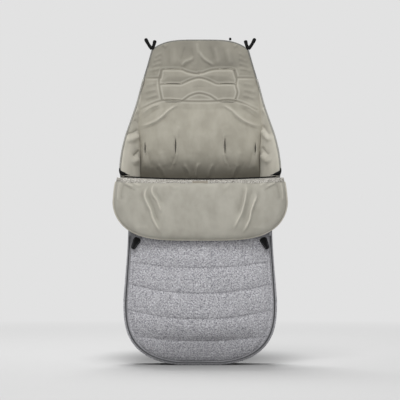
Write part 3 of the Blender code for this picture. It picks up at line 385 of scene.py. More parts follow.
@dataclass(frozen=True)
class Bag:
    """Main sizes of the whole bag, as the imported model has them."""

    rear_y: float = 0.095
    gap: float = 0.0003
    crown_z: float = 0.973
    corner_z: float = 0.945
    foot_round_z: float = 0.190
    foot_half: float = 0.228
    foot_flat: float = 0.0018
    powers: tuple[float, float] = (2.7, 2.9)
    zip_top_z: float = 0.402
    crest_z: float = 0.556
    waist_half: float = 0.2145
    crest_half: float = 0.2365
    wing_top_z: float = 0.845
    wing_half: float = 0.2394
    wing_top_half: float = 0.174
    corner_half: float = 0.146
    back_inset: float = 0.013
    seat_half: float = 0.181
    neck_half: float = 0.176
    cloth: float = 0.0016
    velour: float = 0.0018
    gusset: float = 0.0043
    piping: float = 0.0026
    zip_y: float = -0.012
    wing_top_y: float = 0.078
    roll: float = 0.0064
    roll_start: float = 0.84
    roll_y: float = 0.0044
    seam: float = 0.0012
    shell_seam: float = 0.0013
    rear_turn: float = 0.22
    front_turn: float = 0.15
    turn_power: float = 1.6
    front_tuck: float = 0.0035

    def side(self) -> SmoothLine:
        """Half width of the outermost line above the foot round.

        Returns:
            The line.
        """
        wing = self.wing_top_z - self.crest_z
        fall = self.wing_half - self.wing_top_half
        heights = [self.crest_z + wing * share for share in (0.10, 0.24, 0.42, 0.58, 0.76)]
        halves = [self.wing_half - fall * share for share in (0.0, 0.06, 0.23, 0.46, 0.72)]
        return SmoothLine(
            (self.foot_round_z, self.zip_top_z, self.crest_z, *heights, self.wing_top_z, self.corner_z),
            (self.foot_half, self.waist_half, self.crest_half, *halves, self.wing_top_half, self.corner_half),
        )

    def seat_side(self) -> SmoothLine:
        """Half width of the back panel above the foot round.

        Returns:
            The line.
        """
        edge = 2 * self.piping + 2 * self.gap
        high = (self.wing_top_z + self.corner_z) / 2
        foot = self.foot_half - self.back_inset
        return SmoothLine(
            (self.foot_round_z, self.zip_top_z, self.crest_z, 0.6728, 0.7896, self.wing_top_z, high, self.corner_z),
            (
                foot,
                (foot + self.seat_half) / 2,
                self.seat_half,
                self.seat_half,
                self.neck_half,
                self.wing_top_half - edge,
                float(self.side()(np.array(high))) - edge,
                self.corner_half - edge,
            ),
        )

    def back_outline(self) -> Outline:
        """The back panel seen from the front.

        Returns:
            The outline.
        """
        edge = 2 * self.piping + 2 * self.gap
        crown = self.crown_z - self.corner_z
        low = self.back_inset
        top = self.corner_z - edge
        return Outline(self.seat_side(), low, self.foot_round_z, top, *self.powers, crown, 0.0, self.foot_flat)

    def front_y(self, z: Array) -> Array:
        """Depth of the gusset's front edge at each height."""
        share = ramp(z, self.crest_z, self.wing_top_z)
        return self.zip_y + (self.wing_top_y - self.zip_y) * share

    def turns(self, v: Array | float) -> Pair:
        """Shares of the turns at a wall's back seam and at its front edge, v from the one to the other."""
        rear = np.maximum(0.0, 1 - v / self.rear_turn) ** self.turn_power
        return rear, np.maximum(0.0, (v - 1) / self.front_turn + 1) ** self.turn_power

    def wall_x(self, z: Array, v: Array) -> Array:
        """Half width of the side wall's inner face, v from its back seam to its front edge.

        Args:
            z: Heights.
            v: Shares of the way from the back seam to the front edge.

        Returns:
            The half widths.
        """
        outer = self.side()(z) - self.gusset
        rear = outer - (self.seat_side()(z) - self.seam)
        flare = ramp(z, (self.foot_round_z + self.zip_top_z) / 2, self.crest_z)
        at_rear, at_front = self.turns(v)
        boxed = rear * at_rear + self.front_tuck * at_front
        return outer - (1 - flare) * boxed - flare * rear * (1 - v)

    def rolled(self, v: Array) -> Pair:
        """Inset and depth of the outer cloth from its back seam to where it rolls over beside the zip.

        Args:
            v: Shares of the way from the back seam to the front edge.

        Returns:
            The insets and the depths.
        """
        angle = np.clip((v - self.roll_start) / (1 - self.roll_start), 0, 1) * math.pi / 2
        rear = self.rear_y - 2 * self.cloth
        front = self.zip_y + self.roll_y
        y = rear + (front - rear) * np.minimum(v / self.roll_start, 1) - self.roll * np.sin(angle)
        inset = self.roll * (1 - np.cos(angle)) + (self.back_inset - self.shell_seam) * self.turns(v)[0]
        return inset, y

    def foot_line(self, angle: Array, inset: float) -> Pair:
        """Places on the foot round, this far inside the outermost line.

        Args:
            angle: Angles round the foot, 0 at its lowest point.
            inset: How far inside it the line runs.

        Returns:
            Places across and up.
        """
        half = self.foot_half - inset
        height = self.foot_round_z - inset
        across, up = self.powers
        x = np.sign(angle) * half * np.abs(np.sin(angle)) ** (2 / across)
        share = 1 - np.abs(np.cos(angle)) ** (2 / up)
        rise = np.maximum(0.0, share * height - self.foot_flat) * height / (height - self.foot_flat)
        return x, inset + rise


BAG = Bag()


def linear(colour: str) -> tuple[float, float, float, float]:
    """Turns an sRGB hex colour into the linear colour that a node takes.

    Args:
        colour: Six hex digits after a hash.

    Returns:
        Red, green, blue and an alpha of 1.
    """
    parts = [int(colour[i : i + 2], 16) / 255 for i in (1, 3, 5)]
    red, green, blue = (c / 12.92 if c <= 0.04045 else ((c + 0.055) / 1.055) ** 2.4 for c in parts)
    return red, green, blue, 1.0


def feed(node: Node, inputs: dict) -> Node:
    """Gives a node's inputs their constant values and links.

    Args:
        node: The node.
        inputs: For each input, by name or number, a value or the output to link.

    Returns:
        The same node.
    """
    for name, value in inputs.items():
        if isinstance(value, Socket):
            node.id_data.links.new(value, node.inputs[name])
        else:
            node.inputs[name].default_value = value
    return node


def add(tree: Tree, kind: str, inputs: dict | None = None, **settings: str) -> Node:
    """Adds one node.

    Args:
        tree: The tree that gets the node.
        kind: The node's type.
        inputs: For each input, by name or number, a value or the output to link.
        settings: Its properties by name.

    Returns:
        The new node.
    """
    node = tree.nodes.new(kind)
    for name, value in settings.items():
        setattr(node, name, value)
    return feed(node, inputs or {})


def grain(tree: Tree, sizes: Triple, detail: float = 2.0) -> Socket:
    """Noise whose blotches have the given sizes along X, Y and Z, in metres.

    Args:
        tree: The material's tree.
        sizes: Size of a blotch along each axis.
        detail: How many finer layers it has.

    Returns:
        The noise's value, about 0.5 in the middle.
    """
    place = add(tree, "ShaderNodeTexCoord").outputs["Object"]
    turned = add(tree, "ShaderNodeMapping", {"Vector": place, "Scale": tuple(1 / s for s in sizes)})
    noise = {"Vector": turned.outputs[0], "Scale": 1.0, "Detail": detail}
    return add(tree, "ShaderNodeTexNoise", noise).outputs[0]


def ribs(tree: Tree, spacing: float, settings: dict, inputs: dict) -> Socket:
    """Waves at a thread's or a rib's spacing, drawn coarser than life.

    Args:
        tree: The material's tree.
        spacing: The real spacing, in metres.
        settings: The wave's direction and profile.
        inputs: How far it wanders.

    Returns:
        The wave's height, from 0 to 1.
    """
    # A wave repeats every tau / 20 at scale 1. Real spacings of 1.6 and 3 mm wouldn't show at 3 mm to a pixel, so
    # they are drawn tau times as wide.
    scale = math.tau / 20 / (math.tau * spacing)
    place = add(tree, "ShaderNodeTexCoord").outputs["Object"]
    return add(tree, "ShaderNodeTexWave", {"Vector": place, "Scale": scale, **inputs}, **settings).outputs["Fac"]


@dataclass(frozen=True)
class Finish:
    """What one kind of material looks like. By itself it is sewing thread: plain, matt and even."""

    name: str
    colour: str
    roughness: float = 0.9

    def made(self) -> bpy.types.Material:
        """The Blender material, made once.

        Returns:
            The material.
        """
        known = bpy.data.materials.get(self.name)
        if known:
            return known
        material = bpy.data.materials.new(self.name)
        material.use_nodes = True
        shader = material.node_tree.nodes["Principled BSDF"]
        feed(shader, {"Base Color": linear(self.colour), "Roughness": self.roughness})
        self.weave(material.node_tree, shader)
        return material

    def weave(self, tree: Tree, shader: Node) -> None:
        """Adds what is special to the finish."""

    def mottled(self, tree: Tree, noise: Socket, low: float, high: float, other: str) -> Socket:
        """The finish's colour, turning to another as a noise rises.

        Args:
            tree: The material's tree.
            noise: The noise.
            low: Its value where the finish's own colour ends.
            high: Its value where the other colour is reached.
            other: The other colour.

        Returns:
            The colour.
        """
        share = add(tree, "ShaderNodeMapRange", {"Value": noise, "From Min": low, "From Max": high}).outputs[0]
        mix = {0: share, 6: linear(self.colour), 7: linear(other)}
        return add(tree, "ShaderNodeMix", mix, data_type="RGBA").outputs[2]

    @staticmethod
    def marked(tree: Tree, colour: Socket, marks: dict[str, str]) -> Socket:
        """The colour, turning to others where the piece's own attributes rise to 1.

        Args:
            tree: The material's tree.
            colour: The colour where all attributes are 0.
            marks: The other colour for each attribute.

        Returns:
            The colour.
        """
        for attribute, other in marks.items():
            mark = add(tree, "ShaderNodeAttribute", attribute_name=attribute).outputs["Fac"]
            mix = {0: mark, 6: colour, 7: linear(other)}
            colour = add(tree, "ShaderNodeMix", mix, data_type="RGBA").outputs[2]
        return colour


@dataclass(frozen=True)
class Velour(Finish):
    """Short-pile polyester velour: matt, soft at grazing angles, patchy where the pile lies two ways."""

    patch_and_shade: str = "#B3AFA3"
    # Colours of the painted shade, a second lighter painted shade, and the painted highlight.
    shaded: str = "#5A564C"
    soft_shade_colour: str = "#7E7B72"
    highlight_colour: str = "#CCC8BC"

    def weave(self, tree: Tree, shader: Node) -> None:
        """Patches of 34 to 60 mm where the pile lies two ways, painted shade and highlight, and a 1.4 mm grain.

        Args:
            tree: The material's tree.
            shader: Its shader.
        """
        patches = self.mottled(tree, grain(tree, (0.034, 0.034, 0.060), 4.0), 0.36, 0.64, self.patch_and_shade)
        # Painted shade in hollows, a second lighter painted shade, and painted highlight on raised folds, by the
        # piece's shares.
        marks = {"nap": self.soft_shade_colour, "ridge": self.highlight_colour, "crease": self.shaded}
        # The pile itself is about 0.2 mm thick, so its grain is drawn coarser than life.
        pile = grain(tree, (0.0014, 0.0014, 0.0014), 3.0)
        bump = add(tree, "ShaderNodeBump", {"Height": pile, "Distance": 0.0005, "Strength": 1.0})
        colour = self.marked(tree, patches, marks)
        feed(shader, {"Base Color": colour, "Normal": bump.outputs[0], "Specular IOR Level": 0.15})
        feed(shader, {"Sheen Weight": 0.25, "Sheen Roughness": 0.5, "Sheen Tint": linear("#E6E2D8")})


@dataclass(frozen=True)
class Melange(Finish):
    """Woven melange polyester: light and dark yarns side by side, so it looks speckled and a little streaky."""

    light: str = "#D2D2D6"
    dark: str = "#78787E"
    shaded: str = "#4C4C4F"
    thread: float = 0.0016

    def weave(self, tree: Tree, shader: Node) -> None:
        """Flecks of the two yarns along and across, over a plain weave.

        Args:
            tree: The material's tree.
            shader: Its shader.
        """
        # Real flecks are under 1 mm. At 3 mm to a pixel they are drawn 2 to 4 mm long, or they wouldn't show.
        flecks = {0: grain(tree, (0.0017, 0.0017, 0.0044)), 1: grain(tree, (0.0044, 0.0040, 0.0016))}
        both = add(tree, "ShaderNodeMath", flecks, operation="ADD").outputs[0]
        share = add(tree, "ShaderNodeMapRange", {"Value": both, "From Min": 0.80, "From Max": 1.20})
        shades = add(tree, "ShaderNodeValToRGB", {"Fac": share.outputs[0]})
        stops = shades.color_ramp.elements
        stops[0].color = linear(self.dark)
        stops[1].color = linear(self.light)
        stops.new(0.5).color = linear(self.colour)
        loose = {"Distortion": 1.0, "Detail": 1.0}
        warp, weft = (ribs(tree, self.thread, {"bands_direction": axis}, loose) for axis in ("X", "Z"))
        cross = add(tree, "ShaderNodeMath", {0: warp, 1: weft}, operation="MULTIPLY").outputs[0]
        bump = add(tree, "ShaderNodeBump", {"Height": cross, "Distance": 0.0006, "Strength": 1.0})
        # Painted shade: the yarn colours turn to the shaded colour by the piece's share, in the apron's seams and
        # towards its foot.
        colour = self.marked(tree, shades.outputs[0], {"crease": self.shaded})
        feed(shader, {"Base Color": colour, "Normal": bump.outputs[0], "Sheen Weight": 0.08, "Specular IOR Level": 0.2})


@dataclass(frozen=True)
class Webbing(Finish):
    """Woven polyamide webbing: cross ribs with a dull shine."""

    rib: float = 0.0016
    deep: str = "#151516"

    def weave(self, tree: Tree, shader: Node) -> None:
        """Cross ribs, and a little unevenness in the dye.

        Args:
            tree: The material's tree.
            shader: Its shader.
        """
        cross = ribs(tree, self.rib, {"bands_direction": "Z", "wave_profile": "SAW"}, {"Distortion": 0.6})
        bump = add(tree, "ShaderNodeBump", {"Height": cross, "Distance": 0.0004, "Strength": 1.0})
        colour = self.mottled(tree, grain(tree, (0.004, 0.004, 0.004)), 0.3, 0.7, self.deep)
        feed(shader, {"Base Color": colour, "Normal": bump.outputs[0], "Specular IOR Level": 0.2})


@dataclass(frozen=True)
class Coil(Finish):
    """Nylon zip coil: smooth extruded monofilament with a soft highlight."""

    def weave(self, tree: Tree, shader: Node) -> None:
        """A faint scuff in the gloss.

        Args:
            tree: The material's tree.
            shader: Its shader.
        """
        scuff = grain(tree, (0.003, 0.003, 0.003))
        bump = add(tree, "ShaderNodeBump", {"Height": scuff, "Distance": 0.0001, "Strength": 1.0})
        feed(shader, {"Normal": bump.outputs[0], "IOR": 1.53})


@dataclass(frozen=True)
class Painted(Finish):
    """Die-cast zinc with baked grey paint: thin gloss coat over a faintly pebbled cast skin."""

    def weave(self, tree: Tree, shader: Node) -> None:
        """Cast pebbling under a clear coat.

        Args:
            tree: The material's tree.
            shader: Its shader.
        """
        skin = grain(tree, (0.0012, 0.0012, 0.0012))
        bump = add(tree, "ShaderNodeBump", {"Height": skin, "Distance": 0.00008, "Strength": 1.0})
        feed(shader, {"Normal": bump.outputs[0], "Coat Weight": 0.5, "Coat Roughness": 0.2})


LINING = Velour("taupe velour", "#9E9A8E", patch_and_shade="#AAA69A")
# Painted shade: near-black velour for the walls inside the slots, where only shade falls.
SLOT_SHADE = Velour("slot wall velour", "#2F2D29", patch_and_shade="#38362F", shaded="#24221F")
# Painted light: a lighter copy of the seat's velour for the wing linings, as the wings catch more light.
WING_PAINTED_LIGHTER = Velour("wing velour", "#BEBAAE", patch_and_shade="#CAC6BA", shaded="#5E5A50")
CUFF_VELOUR = Velour("cuff velour", "#A09D93", patch_and_shade="#ACA99F", shaded="#76736A")
HEM = Velour("pale hem velour", "#B9B5A9", patch_and_shade="#C3BFB3", shaded="#8E8A7F")
TAB_VELOUR = Velour("tab velour", "#857F74", patch_and_shade="#8F897E")
CLOTH = Melange("grey melange", "#ABAAAE")
STRIP = Melange("facing melange", "#9D9A93", light="#C6C3BC", dark="#716D66")
CORD = Webbing("covered piping cord", "#A09F99", rib=0.0030, deep="#8B8A84")
CROWN_CORD = Webbing("grey crown piping", "#868682", rib=0.0030, deep="#737370")
TAPE = Webbing("zip tape", "#A0A0A3", roughness=0.8, deep="#8E8E92")
BINDING = Webbing("crest binding", "#171513", roughness=0.8, deep="#100F0D")
BLACK = Webbing("black webbing", "#060606", roughness=0.7, deep="#030303")
COIL = Coil("nylon zip coil", "#29292C", roughness=0.45)
ENAMEL = Painted("grey enamelled zinc", "#98989C", roughness=0.4)
THREAD = Finish("grey sewing thread", "#6E6E72", roughness=0.8)
PALE_THREAD = Finish("taupe sewing thread", "#8A867B", roughness=0.8)


def linked(name: str, data: bpy.types.ID | None) -> Piece:
    """Puts a mesh, lamp or camera in the scene, as an object of the same name.

    Args:
        name: The object's name.
        data: The mesh, lamp or camera.

    Returns:
        The object.
    """
    thing = bpy.data.objects.new(name, data)
    bpy.context.scene.collection.objects.link(thing)
    return thing


def baked(piece: Piece) -> bpy.types.Mesh:
    """The plain mesh that a piece's modifiers give.

    Args:
        piece: The piece.

    Returns:
        The mesh.
    """
    bpy.context.view_layer.update()
    graph = bpy.context.evaluated_depsgraph_get()
    return bpy.data.meshes.new_from_object(piece.evaluated_get(graph))


def turned_out(mesh: bpy.types.Mesh) -> None:
    """Points the faces of closed shells outwards.

    Args:
        mesh: The mesh.
    """
    work = bmesh.new()
    work.from_mesh(mesh)
    bmesh.ops.recalc_face_normals(work, faces=work.faces)
    work.to_mesh(mesh)
    work.free()


def placed(name: str, mesh: bpy.types.Mesh, finish: Finish) -> Piece:
    """Puts a mesh in the scene as one piece, with its finish and smooth shading.

    Args:
        name: The piece's name.
        mesh: Its mesh.
        finish: Its finish.

    Returns:
        The piece.
    """
    mesh.materials.clear()
    mesh.materials.append(finish.made())
    mesh.shade_smooth()
    return linked(name, mesh)


def at(x: Array, y: Array | float, z: Array) -> Array:
    """Points from their places across, their depths and their heights."""
    return np.stack(np.broadcast_arrays(x, y, z), axis=-1)


def mesh_of(name: str, verts: Sequence, faces: Sequence, edges: Sequence = ()) -> bpy.types.Mesh:
    """A mesh from its points and the point numbers of its faces or edges.

    Args:
        name: The mesh's name.
        verts: The points.
        faces: Point numbers of each face.
        edges: Point numbers of each edge.

    Returns:
        The mesh.
    """
    mesh = bpy.data.meshes.new(name)
    mesh.from_pydata(verts, edges, faces)
    return mesh


def unit(vectors: Array) -> Array:
    """The same directions, each with a length of 1."""
    return vectors / np.maximum(np.linalg.norm(vectors, axis=-1, keepdims=True), 1e-12)


def quads(index: Array) -> Array:
    """Corner numbers of the cells of a grid, whose points have the numbers in index."""
    return np.stack([index[:-1, :-1], index[:-1, 1:], index[1:, 1:], index[1:, :-1]], axis=-1).reshape(-1, 4)


def rim_of(index: Array) -> Array:
    """Point numbers round the edge of a grid, in the order that its cells turn."""
    return np.concatenate([index[0, :-1], index[:-1, -1], index[-1, :0:-1], index[:0:-1, 0]])


def sheet_of(
    name: str,
    front: Array,
    finish: Finish,
    back: Array | None = None,
    crease: Array | None = None,
    nap: Array | None = None,
    ridge: Array | None = None,
) -> Piece:
    """Makes a piece from a grid of points, closed by a second grid behind it.

    Args:
        name: The piece's name.
        front: Points in rows that run up and columns that run to the right, seen from outside.
        finish: Its finish.
        back: The same number of points behind the front, or nothing for an open sheet.
        crease: How far each front point's colour turns to the painted shade, from 0 to 1.
        nap: How far each front point's colour turns to a second, lighter painted shade, from 0 to 1.
        ridge: How far each front point's colour turns to the painted highlight, from 0 to 1.

    Returns:
        The piece.
    """
    rows, columns = front.shape[:2]
    points = front.reshape(-1, 3)
    count = rows * columns
    index = np.arange(count).reshape(rows, columns)
    faces = quads(index)
    if back is not None:
        rim = rim_of(index)
        after = np.roll(rim, -1)
        wall = np.stack([after, rim, rim + count, after + count], axis=-1)
        faces = np.vstack([faces, quads(index + count)[:, ::-1], wall])
        points = np.vstack([points, back.reshape(-1, 3)])
    mesh = mesh_of(name, points.tolist(), faces.tolist())
    # Shares of painted shade and painted highlight, kept on the front points.
    for attribute, values in (("crease", crease), ("nap", nap), ("ridge", ridge)):
        if values is not None:
            shares = np.zeros(len(points), np.float32)
            shares[:count] = np.broadcast_to(values, (rows, columns)).reshape(-1)
            mesh.attributes.new(attribute, "FLOAT", "POINT").data.foreach_set("value", shares)
    return placed(name, mesh, finish)


def normals_of(points: Array) -> Array:
    """Unit normals of a grid of points, to the side from which its columns run right and its rows run up.

    Args:
        points: The grid.

    Returns:
        The normals.
    """
    across = points[:, 1:] - points[:, :-1]
    up = points[1:] - points[:-1]
    faces = unit(np.cross(across[:-1] + across[1:], up[:, :-1] + up[:, 1:]))
    normal = np.zeros(points.shape)
    for rows in (slice(None, -1), slice(1, None)):
        for columns in (slice(None, -1), slice(1, None)):
            normal[rows, columns] += faces
    return unit(normal)


def lifted(points: Array, height: Array | float) -> Array:
    """A grid of points moved along its normals."""
    height = np.asarray(height)
    return points + normals_of(points) * (height[..., None] if height.ndim else height)


def tube_of(
    name: str, line: Array, radius: Array | float, finish: Finish, sides: int = 12, closed: bool = False
) -> Piece:
    """Makes a round cord along a line.

    Args:
        name: The piece's name.
        line: Points along its middle.
        radius: Its radius, or one for each point.
        finish: Its finish.
        sides: How many sides it has.
        closed: Whether its ends meet.

    Returns:
        The piece.
    """
    points = np.asarray(line, float)
    count = len(points)
    around = np.roll(points, -1, axis=0) - np.roll(points, 1, axis=0)
    along = unit(around if closed else np.gradient(points, axis=0))
    side = unit(np.cross(along, (0.0, -1.0, 0.0)))
    up = np.cross(side, along)
    turn = np.linspace(0, 2 * math.pi, sides, endpoint=False)
    size = np.broadcast_to(np.asarray(radius, float), (count,))[:, None, None]
    ring = side[:, None, :] * np.cos(turn)[None, :, None] + up[:, None, :] * np.sin(turn)[None, :, None]
    verts = (points[:, None, :] + ring * size).reshape(-1, 3).tolist()
    index = np.arange(count * sides).reshape(count, sides)
    faces = quads(np.pad(index, ((0, int(closed)), (0, 1)), "wrap")).tolist()
    if not closed:
        faces += [index[0, ::-1].tolist(), index[-1].tolist()]
    mesh = mesh_of(name, verts, faces)
    turned_out(mesh)
    return placed(name, mesh, finish)


def ribbon_of(
    name: str, path: Array, widths: Array, thick: float, finish: Finish, face: Sequence[float] = (0, -1, 0)
) -> Piece:
    """Makes a flat woven strip along a path, with rounded selvedges.

    Args:
        name: The piece's name.
        path: Points along the middle of its front.
        widths: Its width at each point.
        thick: Its thickness.
        finish: Its finish.
        face: The side that its front looks to.

    Returns:
        The piece.
    """
    path = np.asarray(path, float)
    along = unit(np.gradient(path, axis=0))
    side = unit(np.cross(along, np.broadcast_to(np.asarray(face, float), path.shape)))
    out = np.cross(side, along)
    shares = np.array([-1.0, -0.96, -0.82, -0.4, 0.0, 0.4, 0.82, 0.96, 1.0])
    crown = np.array([-0.5, -0.12, 0.0, 0.0, 0.0, 0.0, 0.0, -0.12, -0.5]) * thick
    half = np.asarray(widths, float)[:, None, None] / 2
    front = path[:, None, :] + side[:, None, :] * shares[None, :, None] * half + out[:, None, :] * crown[None, :, None]
    back = front - out[:, None, :] * (thick + 2 * crown)[None, :, None] * 0.999
    front, back = front[:, ::-1], back[:, ::-1]
    if np.dot(np.cross(front[0, -1] - front[0, 0], front[-1, 0] - front[0, 0]), np.asarray(face)) < 0:
        front, back = front[:, ::-1], back[:, ::-1]
    return sheet_of(name, front, finish, back)


class Item(Enum):
    """What a row of small pieces is made of."""

    STITCH = "stitch"
    TOOTH = "tooth"


def row_tree(item: Item) -> Tree:
    """The node tree that sets one small piece at even steps along lines.

    Args:
        item: The small piece.

    Returns:
        The tree, with inputs Spacing, Size, Facing and Finish.
    """
    known = bpy.data.node_groups.get(f"row of {item.value}")
    if known:
        return known
    tree = bpy.data.node_groups.new(f"row of {item.value}", "GeometryNodeTree")
    sockets = {"Geometry": "Geometry", "Spacing": "Float", "Size": "Vector", "Facing": "Vector", "Finish": "Material"}
    for name, kind in sockets.items():
        tree.interface.new_socket(name=name, in_out="INPUT", socket_type=f"NodeSocket{kind}")
    tree.interface.new_socket(name="Geometry", in_out="OUTPUT", socket_type="NodeSocketGeometry")
    start = add(tree, "NodeGroupInput")
    lines = add(tree, "GeometryNodeMeshToCurve", {"Mesh": start.outputs["Geometry"]})
    along = {"Curve": lines.outputs[0], "Length": start.outputs["Spacing"]}
    steps = add(tree, "GeometryNodeResampleCurve", along, mode="LENGTH")
    spots = add(tree, "GeometryNodeCurveToPoints", {"Curve": steps.outputs[0]}, mode="EVALUATED")
    facing = {"Rotation": spots.outputs["Rotation"], "Vector": start.outputs["Facing"]}
    turned = add(tree, "FunctionNodeAlignRotationToVector", facing, axis="Y", pivot_axis="Z")
    if item is Item.STITCH:
        small = add(tree, "GeometryNodeMeshIcoSphere", {"Radius": 0.5, "Subdivisions": 1})
    else:
        small = add(tree, "GeometryNodeMeshCube", {"Size": (1, 1, 1)})
    row = {"Points": spots.outputs["Points"], "Instance": small.outputs["Mesh"], "Rotation": turned.outputs[0]}
    laid = add(tree, "GeometryNodeInstanceOnPoints", {**row, "Scale": start.outputs["Size"]})
    real = add(tree, "GeometryNodeRealizeInstances", {"Geometry": laid.outputs[0]})
    finished = {"Geometry": real.outputs[0], "Material": start.outputs["Finish"]}
    painted = add(tree, "GeometryNodeSetMaterial", finished)
    add(tree, "NodeGroupOutput", {"Geometry": painted.outputs[0]})
    return tree


@dataclass(frozen=True)
class Row:
    """A row of stitches or teeth: how far apart they are, and how wide, deep and long each is."""

    item: Item
    spacing: float
    size: Triple
    finish: Finish
    facing: Triple = (0.0, -1.0, 0.0)

    def along(self, name: str, lines: Sequence[Array]) -> Piece:
        """Lays the row along the lines.

        Args:
            name: The piece's name.
            lines: The lines, each a list of points.

        Returns:
            The finished row as a plain mesh.
        """
        points = [tuple(map(float, p)) for line in lines for p in line]
        edges = []
        start = 0
        for line in lines:
            edges += [(start + i, start + i + 1) for i in range(len(line) - 1)]
            start += len(line)
        carrier = linked(name, mesh_of(name, points, [], edges))
        modifier = carrier.modifiers.new("row", "NODES")
        modifier.node_group = row_tree(self.item)
        values = {"Spacing": self.spacing, "Size": self.size, "Facing": self.facing, "Finish": self.finish.made()}
        for socket in modifier.node_group.interface.items_tree:
            if socket.in_out == "INPUT" and socket.name in values:
                modifier[socket.identifier] = values[socket.name]
        result = baked(carrier)
        bpy.data.objects.remove(carrier, do_unlink=True)
        return placed(name, result, self.finish)


SEAM_STITCH = Row(Item.STITCH, 0.0038, (0.0009, 0.0007, 0.0030), THREAD)
PALE_STITCH = Row(Item.STITCH, 0.0036, (0.0008, 0.0006, 0.0028), PALE_THREAD)
PULL_STITCH = Row(Item.STITCH, 0.0026, (0.0011, 0.0006, 0.0024), THREAD)
TEETH = Row(Item.TOOTH, 0.0024, (0.0036, 0.0018, 0.0013), COIL)


@dataclass
class Probe:
    """Finds the front of a finished piece, so that stitches and cords lie on it."""

    piece: Piece

    def __post_init__(self) -> None:
        """Keeps a search tree of the piece's faces."""
        bpy.context.view_layer.update()
        self.tree = BVHTree.FromObject(self.piece, bpy.context.evaluated_depsgraph_get())

    def hit(self, x: float, z: float) -> Vector | None:
        """The piece's front at a place in millimetres, or nothing beside the piece."""
        return self.tree.ray_cast(Vector((x * MM, -1.0, z * MM)), Vector((0, 1, 0)))[0]

    def on_front(self, line: Line, stand: float) -> Array:
        """Points on the piece's front under a line given in millimetres.

        Args:
            line: Places across and up, in millimetres.
            stand: How far the points stand proud, in metres.

        Returns:
            The points that lie on the piece, in metres.
        """
        found = []
        for x, z in smoothed(line, 8):
            hit = self.hit(x, z)
            if hit is not None:
                found.append((hit.x, hit.y - stand, hit.z))
        return np.array(found)


@dataclass(frozen=True)
class Opening:
    """One harness slot: its name, its middle and its size, in millimetres."""

    name: str
    x: float
    z: float
    width: float
    height: float

    @property
    def tall(self) -> bool:
        """Whether the slot stands upright."""
        return self.height > self.width

    def ring(self, reach: float) -> list[tuple[float, float]]:
        """The slot's outline in millimetres: a thin lens, as the cloth pulls open round it.

        Args:
            reach: How far outside the opening the ring runs.

        Returns:
            Points of the ring, in order.
        """
        long, short = max(self.width, self.height) / 2, min(self.width, self.height) / 2
        points = []
        for turn in np.linspace(0, 2 * math.pi, 28, endpoint=False):
            along = math.cos(turn) * (long + reach)
            rise = abs(math.sin(turn))
            aside = math.copysign(short * rise**1.4 + reach * rise**0.4, math.sin(turn))
            points.append((self.x + aside, self.z + along) if self.tall else (self.x + along, self.z + aside))
        return points


def wrapped(outline: Outline, heights: Array, across: Array) -> Array:
    """A line that follows an outline along its left side, across, and back along its right side.

    Args:
        outline: The outline.
        heights: Heights of the left side's points, with that of the corner last.
        across: Points from the left corner to the right one, each across and up.

    Returns:
        The line's points, each across and up.
    """
    side = np.stack([-outline.half(heights[:-1]), heights[:-1]], axis=1)
    return np.vstack([side, across, side[::-1] * (-1, 1)])


